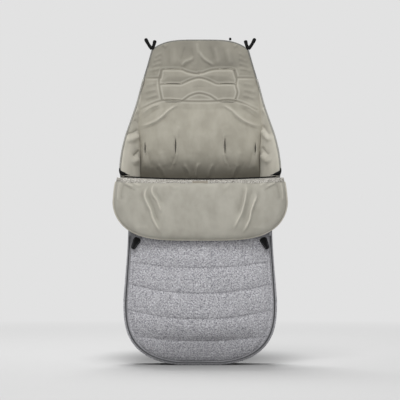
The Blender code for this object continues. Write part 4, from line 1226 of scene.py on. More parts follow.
@dataclass
class Back:
    """The back panel: a quilted velour pad with harness slots, on a plain cloth back, piped round the head.

    Pads, openings, sewn lines and folds are in millimetres. Each opening has a name, its place across and up, and its
    size. Each row of the fan has the two ends of one pucker, across and up.
    """

    columns: int = 168
    rows: tuple[int, int] = (64, 190)
    fine_from: float = 0.50
    seam_pad: float = 4.5
    head_pad: float = 9.6
    seat_pad: float = 27.0
    foot_pad: float = 12.0
    edge_pad: float = 3.5
    swell: float = 8.0
    soft_meet: float = 4.0
    least_pad: float = 2.5
    crown_from: float = 0.8826
    rim: float = 0.0009
    back_ripple: float = 0.0006
    openings: tuple[tuple[str, float, float, float, float], ...] = (
        ("lower_shoulder", 81.5, 789.6, 50.0, 1.8),
        ("middle_shoulder", 81.5, 839.0, 50.0, 1.8),
        ("upper_shoulder", 81.5, 882.6, 50.0, 1.8),
        ("seat", 75.0, 650.0, 4.8, 50.0),
        ("lap", 164.0, 644.0, 4.8, 36.0),
    )

    row_one_left: Line = (
        (-119.6, 856), (-117, 868), (-114.6, 881), (-86, 882.6), (-57, 881.5), (-39.6, 875), (-19.6, 870), (-4, 868.5),
    )
    row_one_right: Line = (
        (-6, 871), (7.9, 872), (25.4, 878), (45.4, 882), (71, 882.8), (97.9, 881.5), (104, 868), (107.9, 856),
    )
    row_two: Line = (
        (-122, 836), (-114.6, 837.5), (-86, 838.4), (-59.6, 838), (-44.6, 843.6), (-27, 851), (-4.6, 856.5),
        (15.4, 853), (35.4, 845), (52, 838.6), (80, 839.5), (106, 837.5),
    )
    row_three_left: Line = (
        (-176, 763), (-144.6, 779), (-114.6, 788.6), (-86, 789.6), (-54.6, 787), (-30, 785.8), (-4, 785.5),
    )
    row_three_right: Line = (
        (-4, 785.5), (26, 785.8), (51.4, 787), (76, 789.8), (102.9, 788), (135.4, 777.5), (168, 761),
    )
    arch: Line = ((-54.6, 786.5), (-42, 795), (-29.6, 803), (-4.6, 810), (22.9, 804.5), (40.4, 795), (51.4, 786.5))
    side_left: Line = ((-114.6, 880), (-120, 866), (-123.5, 851), (-122.5, 831), (-118, 806), (-114.6, 789))
    side_right: Line = ((102.9, 880), (108, 866), (109.4, 852), (107, 832), (111.4, 812), (104.5, 788))
    tuck_left: Line = ((-172, 857), (-148, 856), (-120, 857))
    tuck_right: Line = ((164, 856), (140, 857), (108, 857))
    fan: tuple[tuple[float, ...], ...] = (
        (-113, 932, -137, 919), (-114, 917, -143, 905), (-114, 901, -150, 890), (-114, 886, -158, 876),
        (-128, 840, -166, 834), (-128, 822, -168, 812), (-124, 806, -168, 792), (-100, 948, -117, 958),
    )
    seat_folds: Folds = folds_of(
        (6.2, 4.6, -184, 708, -160, 715, -133.6, 727, -112, 743, -92, 761, -62, 777),
        (-3.0, 4.6, -182, 699, -157, 706, -130, 717, -108, 733, -88, 750),
        (4.6, 3.6, -178.6, 742, -164.6, 755, -144.6, 769, -118, 778),
        (-2.8, 4.5, -178, 729, -160, 740, -140, 756, -116, 768),
        (2.6, 8.0, -172, 640, -168, 612, -160, 580),
        (-2.0, 4.5, -78, 622, -82, 604, -92, 580),
        (2.2, 3.2, -71, 634, -72, 614, -79, 592),
        (1.3, 2.4, -71, 690, -70, 660, -70, 640),
        (2.2, 2.6, -169.5, 668, -169.5, 644, -170, 620, -174, 596),
        (-2.2, 6.0, -158, 640, -152, 612, -146, 584),
        (1.8, 9.0, -118, 640, -112, 610, -104, 586),
        (1.4, 9.0, -64, 712, -72, 688, -76, 676),
    )
    single_folds: Folds = folds_of(
        (1.2, 22.0, -8, 700, -4, 660, -6, 620),
        (-1.2, 5.0, -66, 604, -50, 576, -44, 552),
        (2.6, 5.0, -50, 598, -34, 574, -28, 552),
        (-1.2, 5.0, 56, 606, 44, 580, 40, 552),
        (2.4, 5.0, 40, 600, 28, 576, 24, 552),
        (3.6, 5.0, -2, 604, -12, 576, -12, 550),
        (-1.2, 4.5, -146, 604, -128, 578, -116, 552),
        (2.4, 4.5, -128, 600, -112, 576, -104, 552),
        (-1.2, 4.5, 134, 606, 120, 580, 108, 552),
        (2.4, 4.5, 116, 600, 104, 578, 96, 552),
    )
    crown_folds: Folds = folds_of(
        (3.8, 4.2, -58, 888, -46, 904, -31, 910, -16, 920),
        (-2.0, 4.0, -50, 882, -38, 896, -22, 902),
        (-2.0, 5.0, -45, 950, -52, 930, -60, 906),
        (-1.3, 6.0, -90, 946, -93, 912, -90, 890),
        (1.4, 7.0, -76, 950, -78, 920, -74, 892),
        (2.6, 5.0, -10, 962, -8, 944, -5, 926),
        (-1.8, 6.0, -26, 950, -22, 922, -19, 896),
        (4.4, 4.2, -4, 940, 6, 920, 24, 905, 46, 893),
        (-2.2, 4.5, -2, 922, 12, 904, 36, 890),
        (-2.0, 6.0, 30, 956, 36, 930, 44, 904),
        (2.0, 7.0, 42, 954, 50, 926, 56, 894),
        (-1.6, 6.0, 66, 950, 74, 922, 76, 894),
        (1.6, 6.0, 82, 946, 88, 916, 92, 892),
    )

    def __post_init__(self) -> None:
        """Sets out the grid of the panel."""
        self.outline = BAG.back_outline()
        low = spread(self.rows[0], self.outline.corner_z, self.fine_from)
        z = np.concatenate([low, spread(self.rows[1], self.fine_from, self.outline.top)[1:]])[:, None]
        self.s, z = np.broadcast_arrays(spread(self.columns)[None, :], z)
        self.x, self.z = self.outline.place(self.s, z, BAG.foot_round_z, self.crown_from)

    def seams(self) -> tuple[Line, ...]:
        """All sewn lines of the head."""
        rows = (self.row_one_left, self.row_one_right, self.row_two, self.row_three_left, self.row_three_right)
        return *rows, self.arch, self.side_left, self.side_right, self.tuck_left, self.tuck_right

    def folds(self) -> Folds:
        """Tent folds of the seat, soft pleats under the crown, and puckers along the edges.

        Returns:
            The folds.
        """
        fan = []
        for inner_x, inner_z, outer_x, outer_z in self.fan:
            middle = ((inner_x + outer_x) / 2, (inner_z + outer_z) / 2 + 1.5)
            fan.append(Fold(((inner_x, inner_z), middle, (outer_x, outer_z)), 2.3, 4.0))
            low = ((inner_x, inner_z - 7), (middle[0], middle[1] - 8), (outer_x, outer_z - 8))
            fan.append(Fold(low, -2.0, 4.0))
        side_crease = Fold(((-181, 664), (-179, 640), (-181, 610), (-181, 560)), -5.0, 3.6, 0.1)
        return both_sides(*self.seat_folds, side_crease, *fan) + self.single_folds + self.crown_folds

    @staticmethod
    def joined(z: Array) -> Array:
        """How far the pad runs into the wings at each height in millimetres: not beside the slots, fully above them."""
        return ramp(z, 660, 715) * ramp(z, 852, 812)

    def widened(self, pad: Array) -> Array:
        """Places across, moved out at the edge so that the pad meets the wing that slants away beside it.

        Args:
            pad: Thickness of the pad, in millimetres.

        Returns:
            The places.
        """
        z = self.z / MM
        depth = BAG.rear_y - 2 * BAG.cloth - BAG.front_y(self.z)
        v = np.clip((pad * MM - BAG.velour) / depth, 0.0, 0.8)
        out = BAG.wall_x(self.z, v) - BAG.seat_side()(self.z) + 0.0008
        return self.x + np.sign(self.s) * np.maximum(out, 0.0) * self.joined(z) * np.abs(self.s) ** 18

    def seat(self, z: Array, edge: Array) -> Array:
        """Thickness of the seat in millimetres: full below the head's last seam, and thin where the apron hides it.

        Args:
            z: Heights, in millimetres.
            edge: Height of the head's last seam above each place.

        Returns:
            The thickness.
        """
        depth = np.clip((edge - z) / 105.0, 0, 1)
        seat = self.seam_pad + (self.seat_pad - self.seam_pad) * np.sin(math.pi / 2 * depth) ** 0.7
        seat = seat + self.swell * bell(z, 652, 62) * (1 - np.abs(self.s) ** 2.6) * ramp(z, 566, 616)
        mouth = self.foot_pad + (self.seat_pad + self.swell - self.foot_pad) * ramp(z, 550, 642)
        return -self.soft_meet * np.logaddexp(-seat / self.soft_meet, -mouth / self.soft_meet)

    def marks(self, full: Array, folds: Array, sides: Array) -> tuple[Array, Array, Array]:
        """Painted shade and painted highlight on the pile, as three shares.

        Args:
            full: How full the padding is between its seams.
            folds: Height of the folds, in millimetres.
            sides: Share of the thickness that the rounded sides leave.

        Returns:
            Painted shade in seams, folds and the mouth, lighter painted shade on head and mouth, painted highlight.
        """
        x, z, s = self.x / MM, self.z / MM, np.abs(self.s)
        above_apron = ramp(z, 470, 530)
        in_head = ramp(z, 740, 760)
        # Painted shade down in the head's seams and in sunk folds.
        seams = 0.55 * np.exp(-full * 9) * in_head
        crease = np.clip(seams + 0.6 * np.clip(-folds / 5.0, 0, 1), 0, 1) * ramp(z, 480, 540) * sides
        # Painted shade on the seat just above the apron, below an uneven line.
        line = 622 + 7 * Ripple(15, 46.0, 400.0)(x, z) - 8 * (1 - s**2)
        shade = ramp(z, line, line - 66) * above_apron
        # Painted shade low on the seat's sides, and in a narrow tuck at its edges.
        corner = 0.30 * ramp(s, 0.80, 0.98) * ramp(z, 670, 590) * above_apron
        tuck = ramp(s, 0.962, 0.987) * ramp(z, 648, 618) * above_apron
        # Painted shade on the crown.
        patch_and_shade = 0.80 * ramp(z, 872, 896) * (0.75 + 0.25 * Ripple(13, 40.0, 60.0)(x, z))
        # Painted highlight beside the head's seams and on raised folds.
        lips = 0.50 * bell(full, 0.26, 0.12) * in_head * sides
        ridge = 0.55 * np.clip(folds / 6, 0, 1) ** 1.3 * sides
        # The second, lighter painted shade also covers the mouth and the whole head above its lowest row of seams.
        return (
            np.maximum.reduce([crease, 0.92 * shade, corner, tuck]),
            np.maximum.reduce([patch_and_shade, 0.6 * shade, 0.34 * ramp(z, 776, 796)]),
            np.maximum(ridge, lips),
        )

    def thickness(self) -> tuple[Array, Array, Array, Array]:
        """Thickness of the pad at each grid point in millimetres, and its painted shades and highlight as shares.

        Returns:
            The thickness and the three shares.
        """
        x, z = self.x / MM, self.z / MM
        full, wrinkle = Seams(self.seams(), 13.0, 1.3, 11.0, 3).shares(x, z)
        edge = np.interp(x, *zip(*self.row_three_left, *self.row_three_right[1:]))
        pad = np.where(z > edge, self.seam_pad + self.head_pad * full, self.seat(z, edge))
        sides = np.sqrt(np.maximum(0.0, 1 - np.abs(self.s) ** (3.2 + 6.0 * ramp(z, 700, 640))))
        edge_pad = self.edge_pad + 3.5 * ramp(z, 480, 540) * ramp(z, 860, 820) + 9.0 * self.joined(z)
        pad = edge_pad + np.maximum(pad - edge_pad, 0.0) * sides
        folds = lift_of(self.folds(), x, z)
        soft = Ripple(11, 26.0, 34.0)(x, z) * 0.8 + Ripple(12, 9.0, 12.0)(x, z) * 0.22
        pad = pad + (folds + wrinkle * full**0.2 + soft) * ramp(z, 480, 540) * sides
        return np.maximum(pad, self.least_pad), *self.marks(full, folds, sides)

    def build(self) -> None:
        """Makes the pad, its slots, the cloth behind it and the piping round it."""
        rear = BAG.rear_y - BAG.cloth - BAG.gap
        pad, crease, nap, ridge = self.thickness()
        front = at(self.widened(pad), rear - BAG.velour - BAG.gap - pad * MM, self.z)
        back = at(self.x, rear, self.z)
        cutter = self.slot_cutter()
        cushion = sheet_of("seat_pad", front, LINING, back, crease, nap, ridge)
        self.cut(cushion, cutter)
        channels = ("lower_channel_wadding", "upper_channel_wadding", "crown_wadding")
        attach(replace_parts(cushion, "seat_lining", "seat_wadding", *channels), "bag")
        plain = at(self.x, BAG.rear_y, self.z)[::3, ::4]
        ripple = Ripple(21, 0.06, 0.09)(plain[..., 0], plain[..., 2]) * self.back_ripple
        behind = plain.copy()
        behind[..., 1] -= BAG.cloth
        plain[..., 1] += ripple
        cloth = sheet_of("back_cloth", plain[:, ::-1], CLOTH, behind[:, ::-1])
        self.cut(cloth, cutter)
        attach(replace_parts(cloth, "back_shell"), "bag")
        bpy.data.objects.remove(cutter, do_unlink=True)
        self.rims(cushion)
        self.cord()
        self.stitches(cushion)

    def slots(self) -> list[Opening]:
        """All harness slots: three pairs for the shoulder straps, a pair in the seat and a pair at the hips."""
        return [Opening(f"{side}_{name}", sign * x, *rest) for side, sign in SIDES for name, x, *rest in self.openings]

    def slot_cutter(self) -> Piece:
        """One hidden piece with the shape of all slots, which slant so that their lips hide what is behind.

        Returns:
            The piece.
        """
        verts, faces = [], []
        for opening in self.slots():
            # How deep the slot's middle lies, and how much it slants.
            depth, slant = (0.0635, 0.35) if opening.tall else (0.0840, 0.70)
            ring = opening.ring(0.0)
            near = len(verts)
            far = near + len(ring)
            for y in (-0.05, 0.05):
                shift_x = y * slant * math.copysign(1, opening.x) if opening.tall else 0.0
                shift_z = 0.0 if opening.tall else y * slant
                verts += [(a * MM + shift_x, depth + y, b * MM + shift_z) for a, b in ring]
            faces += [tuple(range(near, far)), tuple(range(far, len(verts)))[::-1]]
            for k in range(len(ring)):
                before = (k - 1) % len(ring)
                faces.append((near + k, far + k, far + before, near + before))
        mesh = mesh_of("slot shapes", verts, faces)
        turned_out(mesh)
        # The slots' walls get the painted shade velour.
        mesh.materials.append(SLOT_SHADE.made())
        return linked("slot shapes", mesh)

    @staticmethod
    def cut(piece: Piece, cutter: Piece) -> None:
        """Cuts the slots through a piece and keeps the result as its mesh.

        Args:
            piece: The piece.
            cutter: The hidden piece to cut with.
        """
        modifier = piece.modifiers.new("slots", "BOOLEAN")
        modifier.operation = "DIFFERENCE"
        modifier.object = cutter
        modifier.solver = "EXACT"
        modifier.material_mode = "TRANSFER"
        result = baked(piece)
        piece.modifiers.clear()
        piece.data = result

    def rims(self, cushion: Piece) -> None:
        """A bound edge round each slot.

        Args:
            cushion: The pad.
        """
        probe = Probe(cushion)
        for opening in self.slots():
            ring = [(a, probe.hit(a, b).y - 0.0006, b) for a, b in opening.ring(1.0)]
            deepest = float(np.median([place[1] for place in ring])) + 0.002
            points = np.array([(a * MM, min(y, deepest), b * MM) for a, y, b in ring])
            rim = tube_of(f"{opening.name}_slot_rim", points, self.rim, LINING, 8, True)
            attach(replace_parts(rim, f"{opening.name}_slot_binding"), "bag")

    def cord(self) -> None:
        """Piping round the head, from wing top to wing top."""
        low = BAG.wing_top_z - BAG.piping - 2 * BAG.gap
        s = spread(60)
        top = self.outline.place(s, np.full(s.shape, self.outline.top), BAG.foot_round_z, self.crown_from)
        line = wrapped(self.outline, spread(24, low, self.outline.top), np.stack(top, axis=1))
        along = np.gradient(line, axis=0)
        line = line + unit(np.stack([-along[:, 1], along[:, 0]], axis=1)) * (BAG.piping - 2 * BAG.gap)
        points = at(line[:, 0], BAG.rear_y - BAG.cloth - self.edge_pad * MM / 2, line[:, 1])
        piece = tube_of("crown_cord", points, BAG.piping, CROWN_CORD, 14)
        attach(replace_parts(piece, "crown_piping"), "bag")

    def stitches(self, cushion: Piece) -> None:
        """Rows of thread down in the quilting seams.

        Args:
            cushion: The pad.
        """
        probe = Probe(cushion)
        lines = [probe.on_front(line, 0.0001) for line in self.seams()]
        row = PALE_STITCH.along("head_stitches", lines)
        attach(row, "bag")


@dataclass
class Walls:
    """The side walls: boxed beside the closed zips, and flaring into wings beside the seat.

    The linings' folds are in millimetres, as seen from the front.
    """

    columns: int = 44
    rows: int = 240
    low_rows: int = 60
    shell_depth: float = 0.0021
    boxed_z: float = 0.300
    cord_top: Triple = (0.0010, 0.0905, 0.0065)
    left_folds: Folds = folds_of(
        (-3.5, 4.5, -224, 684, -205, 690, -186, 702),
        (5.0, 9.0, -226, 668, -206, 672, -186, 684),
        (-4.5, 4.5, -210, 618, -198, 628, -185, 640),
        (4.0, 10.0, -214, 600, -200, 606, -186, 612),
        (2.6, 8.0, -214, 745, -200, 755, -184, 760),
        (-2.4, 5.0, -200, 730, -192, 724, -182, 720),
        (1.5, 7.0, -192, 800, -186, 812, -178, 818),
    )
    right_folds: Folds = folds_of(
        (-3.5, 4.5, 186, 716, 198, 700, 212, 680),
        (5.0, 8.0, 184, 702, 198, 684, 216, 664),
        (-4.0, 4.5, 188, 650, 202, 632, 214, 622),
        (4.0, 10.0, 186, 628, 202, 612, 218, 600),
        (2.6, 8.0, 184, 764, 198, 756, 212, 742),
        (1.5, 7.0, 178, 822, 186, 810, 194, 796),
    )

    def grid(self, sign: int) -> tuple[Array, Array, Array]:
        """Inner face of one wall, seen from inside the bag.

        Args:
            sign: -1 for the left wall, 1 for the right.

        Returns:
            The points, and the share across and the height of each.
        """
        low = spread(self.low_rows, BAG.foot_round_z + BAG.gap, BAG.zip_top_z)
        z = np.concatenate([low, spread(self.rows, BAG.zip_top_z, BAG.wing_top_z)[1:]])[:, None]
        v, z = np.broadcast_arrays(spread(self.columns, 0.0, 1.0)[None, :], z)
        rear = BAG.rear_y - 2 * BAG.cloth
        y = rear + (BAG.front_y(z) - rear) * v
        points = at(sign * BAG.wall_x(z, v), y, z)
        if sign < 0:
            return points[:, ::-1], v[:, ::-1], z
        return points, v, z

    def build(self) -> None:
        """Makes both walls, their linings and the piping along their front edges."""
        for side, sign in SIDES:
            points, v, z = self.grid(sign)
            x_mm, z_mm = points[..., 0] / MM, z / MM
            wing = ramp(z_mm, 470, 560) * ramp(z_mm, 845, 785)
            swell = np.sin(math.pi * v) ** 0.6 * (6.5 * ramp(z_mm, 720, 610) + 3.5) * wing
            folds = lift_of(self.left_folds if sign < 0 else self.right_folds, x_mm, z_mm) * wing
            soft = Ripple(31 + sign, 24.0, 40.0)(v * 100, z_mm) * 0.7 * np.sin(math.pi * v)
            # Painted shade along the seam to the seat and in sunk folds of the lining.
            seam = np.exp(-v * 14) * ramp(z_mm, 652, 622) * wing
            crease = np.clip(seam * 0.9 + np.clip(-folds / 5, 0, 1) * 0.4, 0, 1)
            inner = lifted(points, (swell + folds + soft * wing) * MM)
            back = lifted(points, -BAG.velour)
            lining = sheet_of(f"{side}_wing_lining", inner, WING_PAINTED_LIGHTER, back, crease)
            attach(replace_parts(lining, f"{side}_gusset_lining"), "bag")
            face = lifted(points, -BAG.gusset)
            inset, depth = BAG.rolled(v)
            boxed = 1 - ramp(z, self.boxed_z, BAG.zip_top_z)
            face[..., 0] += (sign * (BAG.side()(z) - inset) - face[..., 0]) * boxed
            face[..., 1] += (depth - face[..., 1]) * boxed
            face = face[:, ::-1]
            near = lifted(points, -self.shell_depth)[:, ::-1]
            cloth = sheet_of(f"{side}_wing_cloth", face, CLOTH, near)
            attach(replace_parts(cloth, f"{side}_gusset_shell"), "bag")
            self.cord(side, sign)

    def cord(self, side: str, sign: int) -> None:
        """Piping along the front edge of one wing, bent back over the wing's top.

        Args:
            side: Its side, left or right.
            sign: -1 on the left, 1 on the right.
        """
        z = spread(70, BAG.zip_top_z + 0.013, BAG.wing_top_z)
        boxed = 1 - ramp(z, BAG.zip_top_z, BAG.crest_z)
        x = BAG.side()(z) - BAG.gusset / 2 - BAG.front_tuck * boxed
        y = BAG.front_y(z) - BAG.piping + BAG.gap
        turn = spread(6, 0.0, 1.0)[1:]
        inwards, rear, up = self.cord_top
        x = np.append(x, x[-1] - inwards * turn)
        y = np.append(y, y[-1] + (rear - y[-1]) * level(turn))
        z = np.append(z, BAG.wing_top_z + up * turn)
        piece = tube_of(f"{side}_wing_cord", at(sign * x, y, z), BAG.piping, CORD, 12)
        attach(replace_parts(piece, f"{side}_wing_piping"), "bag")


@dataclass
class FootBox:
    """The wall round the foot, between the back and the zip."""

    steps: int = 150

    def build(self) -> None:
        """Makes the wall's cloth and lining."""
        angle = spread(self.steps, -math.pi / 2, math.pi / 2)
        rear = BAG.rear_y - 2 * BAG.cloth
        inner, outer = [], []
        for v in spread(22, 0.0, 1.0):
            at_rear, at_front = BAG.turns(v)
            turned = (BAG.back_inset - BAG.gusset - BAG.shell_seam) * at_rear + BAG.front_tuck * at_front
            inner.append(self.row(angle, BAG.gusset + turned, rear + (BAG.zip_y - rear) * v))
            outer.append(self.row(angle, *BAG.rolled(v)))
        points, shell = np.array(inner), np.array(outer)
        if normals_of(points)[11, self.steps // 2, 2] > 0:
            points = points[:, ::-1]
            shell = shell[:, ::-1]
        for name, node, finish, low, high, slot in (
            ("foot_wall", "foot_gusset_shell", CLOTH, 0.0023, 0.0, "melange"),
            ("foot_wall_lining", "foot_gusset_lining", LINING, 0.0, 0.0020, "velour"),
        ):
            face = lifted(points, high) if high else shell
            piece = sheet_of(name, face, finish, lifted(points, low))
            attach(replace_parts(piece, node), "bag")

    @staticmethod
    def row(angle: Array, inset: float, depth: float) -> Array:
        """Points of the foot round, this far inside its outermost line and at this depth."""
        x, z = BAG.foot_line(angle, inset)
        return at(x, depth, z)


@dataclass
class Apron:
    """The front of the bag: melange cloth quilted in bands over padding, with a velour inside."""

    inset: float = 0.0110
    top_z: float = 0.5535
    bulge: float = 0.0370
    margin: float = 0.0090
    puff: float = 0.0052
    pucker: float = 0.0009
    seam_wide: float = 0.0016
    columns: int = 176
    seam_ends: tuple[float, ...] = (0.0867, 0.1659, 0.2418, 0.3072, 0.3850, 0.4640)
    crest_sag: float = 0.0075
    seam_sags: tuple[float, ...] = (0.0138, 0.0276, 0.0276, 0.0174, 0.0150, 0.0110)
    thin_pad: float = 0.0022
    full_pad: float = 0.0100
    cord_rise: float = 0.0046
    cord_radius: float = 0.0030
    flap_reach: float = 0.245
    flap_low_z: float = 0.5495
    flap_thick: float = 0.0013
    flap_gap: float = 0.0005
    flap_top: Triple = (0.0, -0.0033, -0.0013)
    flap_arch: float = 0.0022

    def __post_init__(self) -> None:
        """Sets out the grid of the panel."""
        side = BAG.side()
        self.outline = Outline(side, 0.0, BAG.foot_round_z, self.top_z, *BAG.powers, 0.0, self.inset, BAG.foot_flat)
        z = spread(200, self.outline.corner_z, self.top_z)[:, None]
        self.s, self.row = np.broadcast_arrays(spread(self.columns)[None, :], z)
        self.x, self.z = self.places(self.s, self.row)

    def places(self, s: Array, z: Array) -> Pair:
        """Places across and up for a share s across the row that meets the side at height z.

        Args:
            s: Shares across, from -1 to 1.
            z: Heights of the rows at the side.

        Returns:
            Places across and up.
        """
        sag = SmoothLine((self.outline.corner_z, *self.seam_ends, self.top_z), (0.0, *self.seam_sags, self.crest_sag))
        x, height = self.outline.place(s, z, self.seam_ends[0], self.top_z - BAG.gap)
        return x, height - sag(z) * (1 - s * s)

    def rise(self, s: Array, z: Array) -> Pair:
        """How far the apron stands in front of the zips, and the share of the way in from its side.

        Args:
            s: Shares across, from -1 to 1.
            z: Heights of the rows at the side.

        Returns:
            The rise and the share.
        """
        half = self.outline.half(z)
        share = np.clip(((1 - np.abs(s)) * half - self.margin) / (half - self.margin), 0, 1)
        up = np.clip((z - self.outline.corner_z) / (BAG.foot_round_z - self.outline.corner_z), 0, 1)
        return self.bulge * (1 - (1 - share) ** 2.4) * (1 - (1 - up) ** 2.2), share

    def depth_behind(self, share: Array) -> Array:
        """How far the cover's padding reaches behind the quilting seams, for shares of the way in from the side."""
        edge = BAG.cloth + BAG.velour + 2 * BAG.gap + self.thin_pad
        return edge + self.full_pad * np.minimum(1.0, share * 5)

    def build(self) -> None:
        """Makes the quilted cover, the velour behind it, its stitches and its top edge."""
        rise, share = self.rise(self.s, self.row)
        bounds = np.array((self.outline.corner_z, *self.seam_ends, self.top_z))
        band = np.clip(np.searchsorted(bounds, self.row, side="right") - 1, 0, len(bounds) - 2)
        low, high = bounds[band], bounds[band + 1]
        apart = np.minimum(self.row - low, high - self.row)
        full = np.clip(2 * apart / (high - low), 0, 1)
        puff = self.puff * np.sin(math.pi / 2 * full) ** 0.55 * np.minimum(1.0, share * 14)
        x_mm, z_mm = self.x / MM, self.z / MM
        pucker = Ripple(41, 10.0, 30.0)(x_mm + 5 * band, z_mm) * np.exp(-apart / 0.009) * self.pucker
        soft = Ripple(42, 46.0, 30.0)(x_mm, z_mm) * self.pucker
        y = BAG.zip_y - rise - puff - (pucker + soft) * np.minimum(1.0, share * 8)
        # Where the seams' painted shade falls.
        sewn = np.exp(-apart / self.seam_wide) * (self.row < 0.50) * (self.row > 0.05)
        front = at(self.x, y, self.z)
        rear = at(self.x, BAG.zip_y - rise + self.depth_behind(share), self.z)
        back = lifted(rear, BAG.velour + BAG.gap)
        cover = sheet_of("apron_cover", front, CLOTH, back, self.shade(np.clip(sewn, 0, 1), x_mm, z_mm))
        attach(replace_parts(cover, "apron_shell", "apron_wadding"), "bag")
        thin = rear[::4, ::4]
        inside = sheet_of("apron_inside", lifted(thin, BAG.velour), LINING, thin)
        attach(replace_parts(inside, "apron_lining"), "bag")
        self.stitches(cover)
        self.crest()

    @staticmethod
    def shade(sewn: Array, x: Array, z: Array) -> Array:
        """Painted shade on the cloth: uneven down in the seams, and a little towards the foot."""
        return np.maximum(sewn * (0.42 + 0.25 * Ripple(43, 12.0, 40.0)(x, z)), 0.22 * ramp(z, 170, 20))

    def stitches(self, cover: Piece) -> None:
        """Dark thread along each quilting seam.

        Args:
            cover: The cover.
        """
        probe = Probe(cover)
        lines = []
        for end in self.seam_ends:
            s = spread(60, -0.985, 0.985)
            x, z = self.places(s, np.full(s.shape, end))
            lines.append(probe.on_front(tuple(zip(x / MM, z / MM)), 0.0002))
        row = SEAM_STITCH.along("apron_stitches", lines)
        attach(row, "bag")

    def crest(self) -> None:
        """The bound top edge, and the cloth that runs from it to the cuff."""
        s = spread(80)
        z = np.full(s.shape, self.top_z)
        x, height = self.places(s, z)
        rise, share = self.rise(s, z)
        line = at(x, BAG.zip_y - rise + self.depth_behind(share) / 2, height + self.cord_rise)
        binding = tube_of("crest_cord", line, self.cord_radius, BINDING, 12)
        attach(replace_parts(binding, "crest_binding"), "bag")
        reach = x / x[-1] * self.flap_reach
        low_z = self.flap_low_z - self.crest_sag * (1 - s * s)
        low = at(reach, CUFF.back_y(reach) + self.flap_gap, low_z)
        high = line + np.array(self.flap_top)
        arch = np.array([0, 0, self.flap_arch])
        cloth = np.array([low + (high - low) * t + arch * math.sin(math.pi * t) for t in spread(6, 0.0, 1.0)])
        flap = sheet_of("crest_flap", cloth, STRIP, lifted(cloth, -self.flap_thick))
        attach(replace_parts(flap, "crest_fold"), "bag")


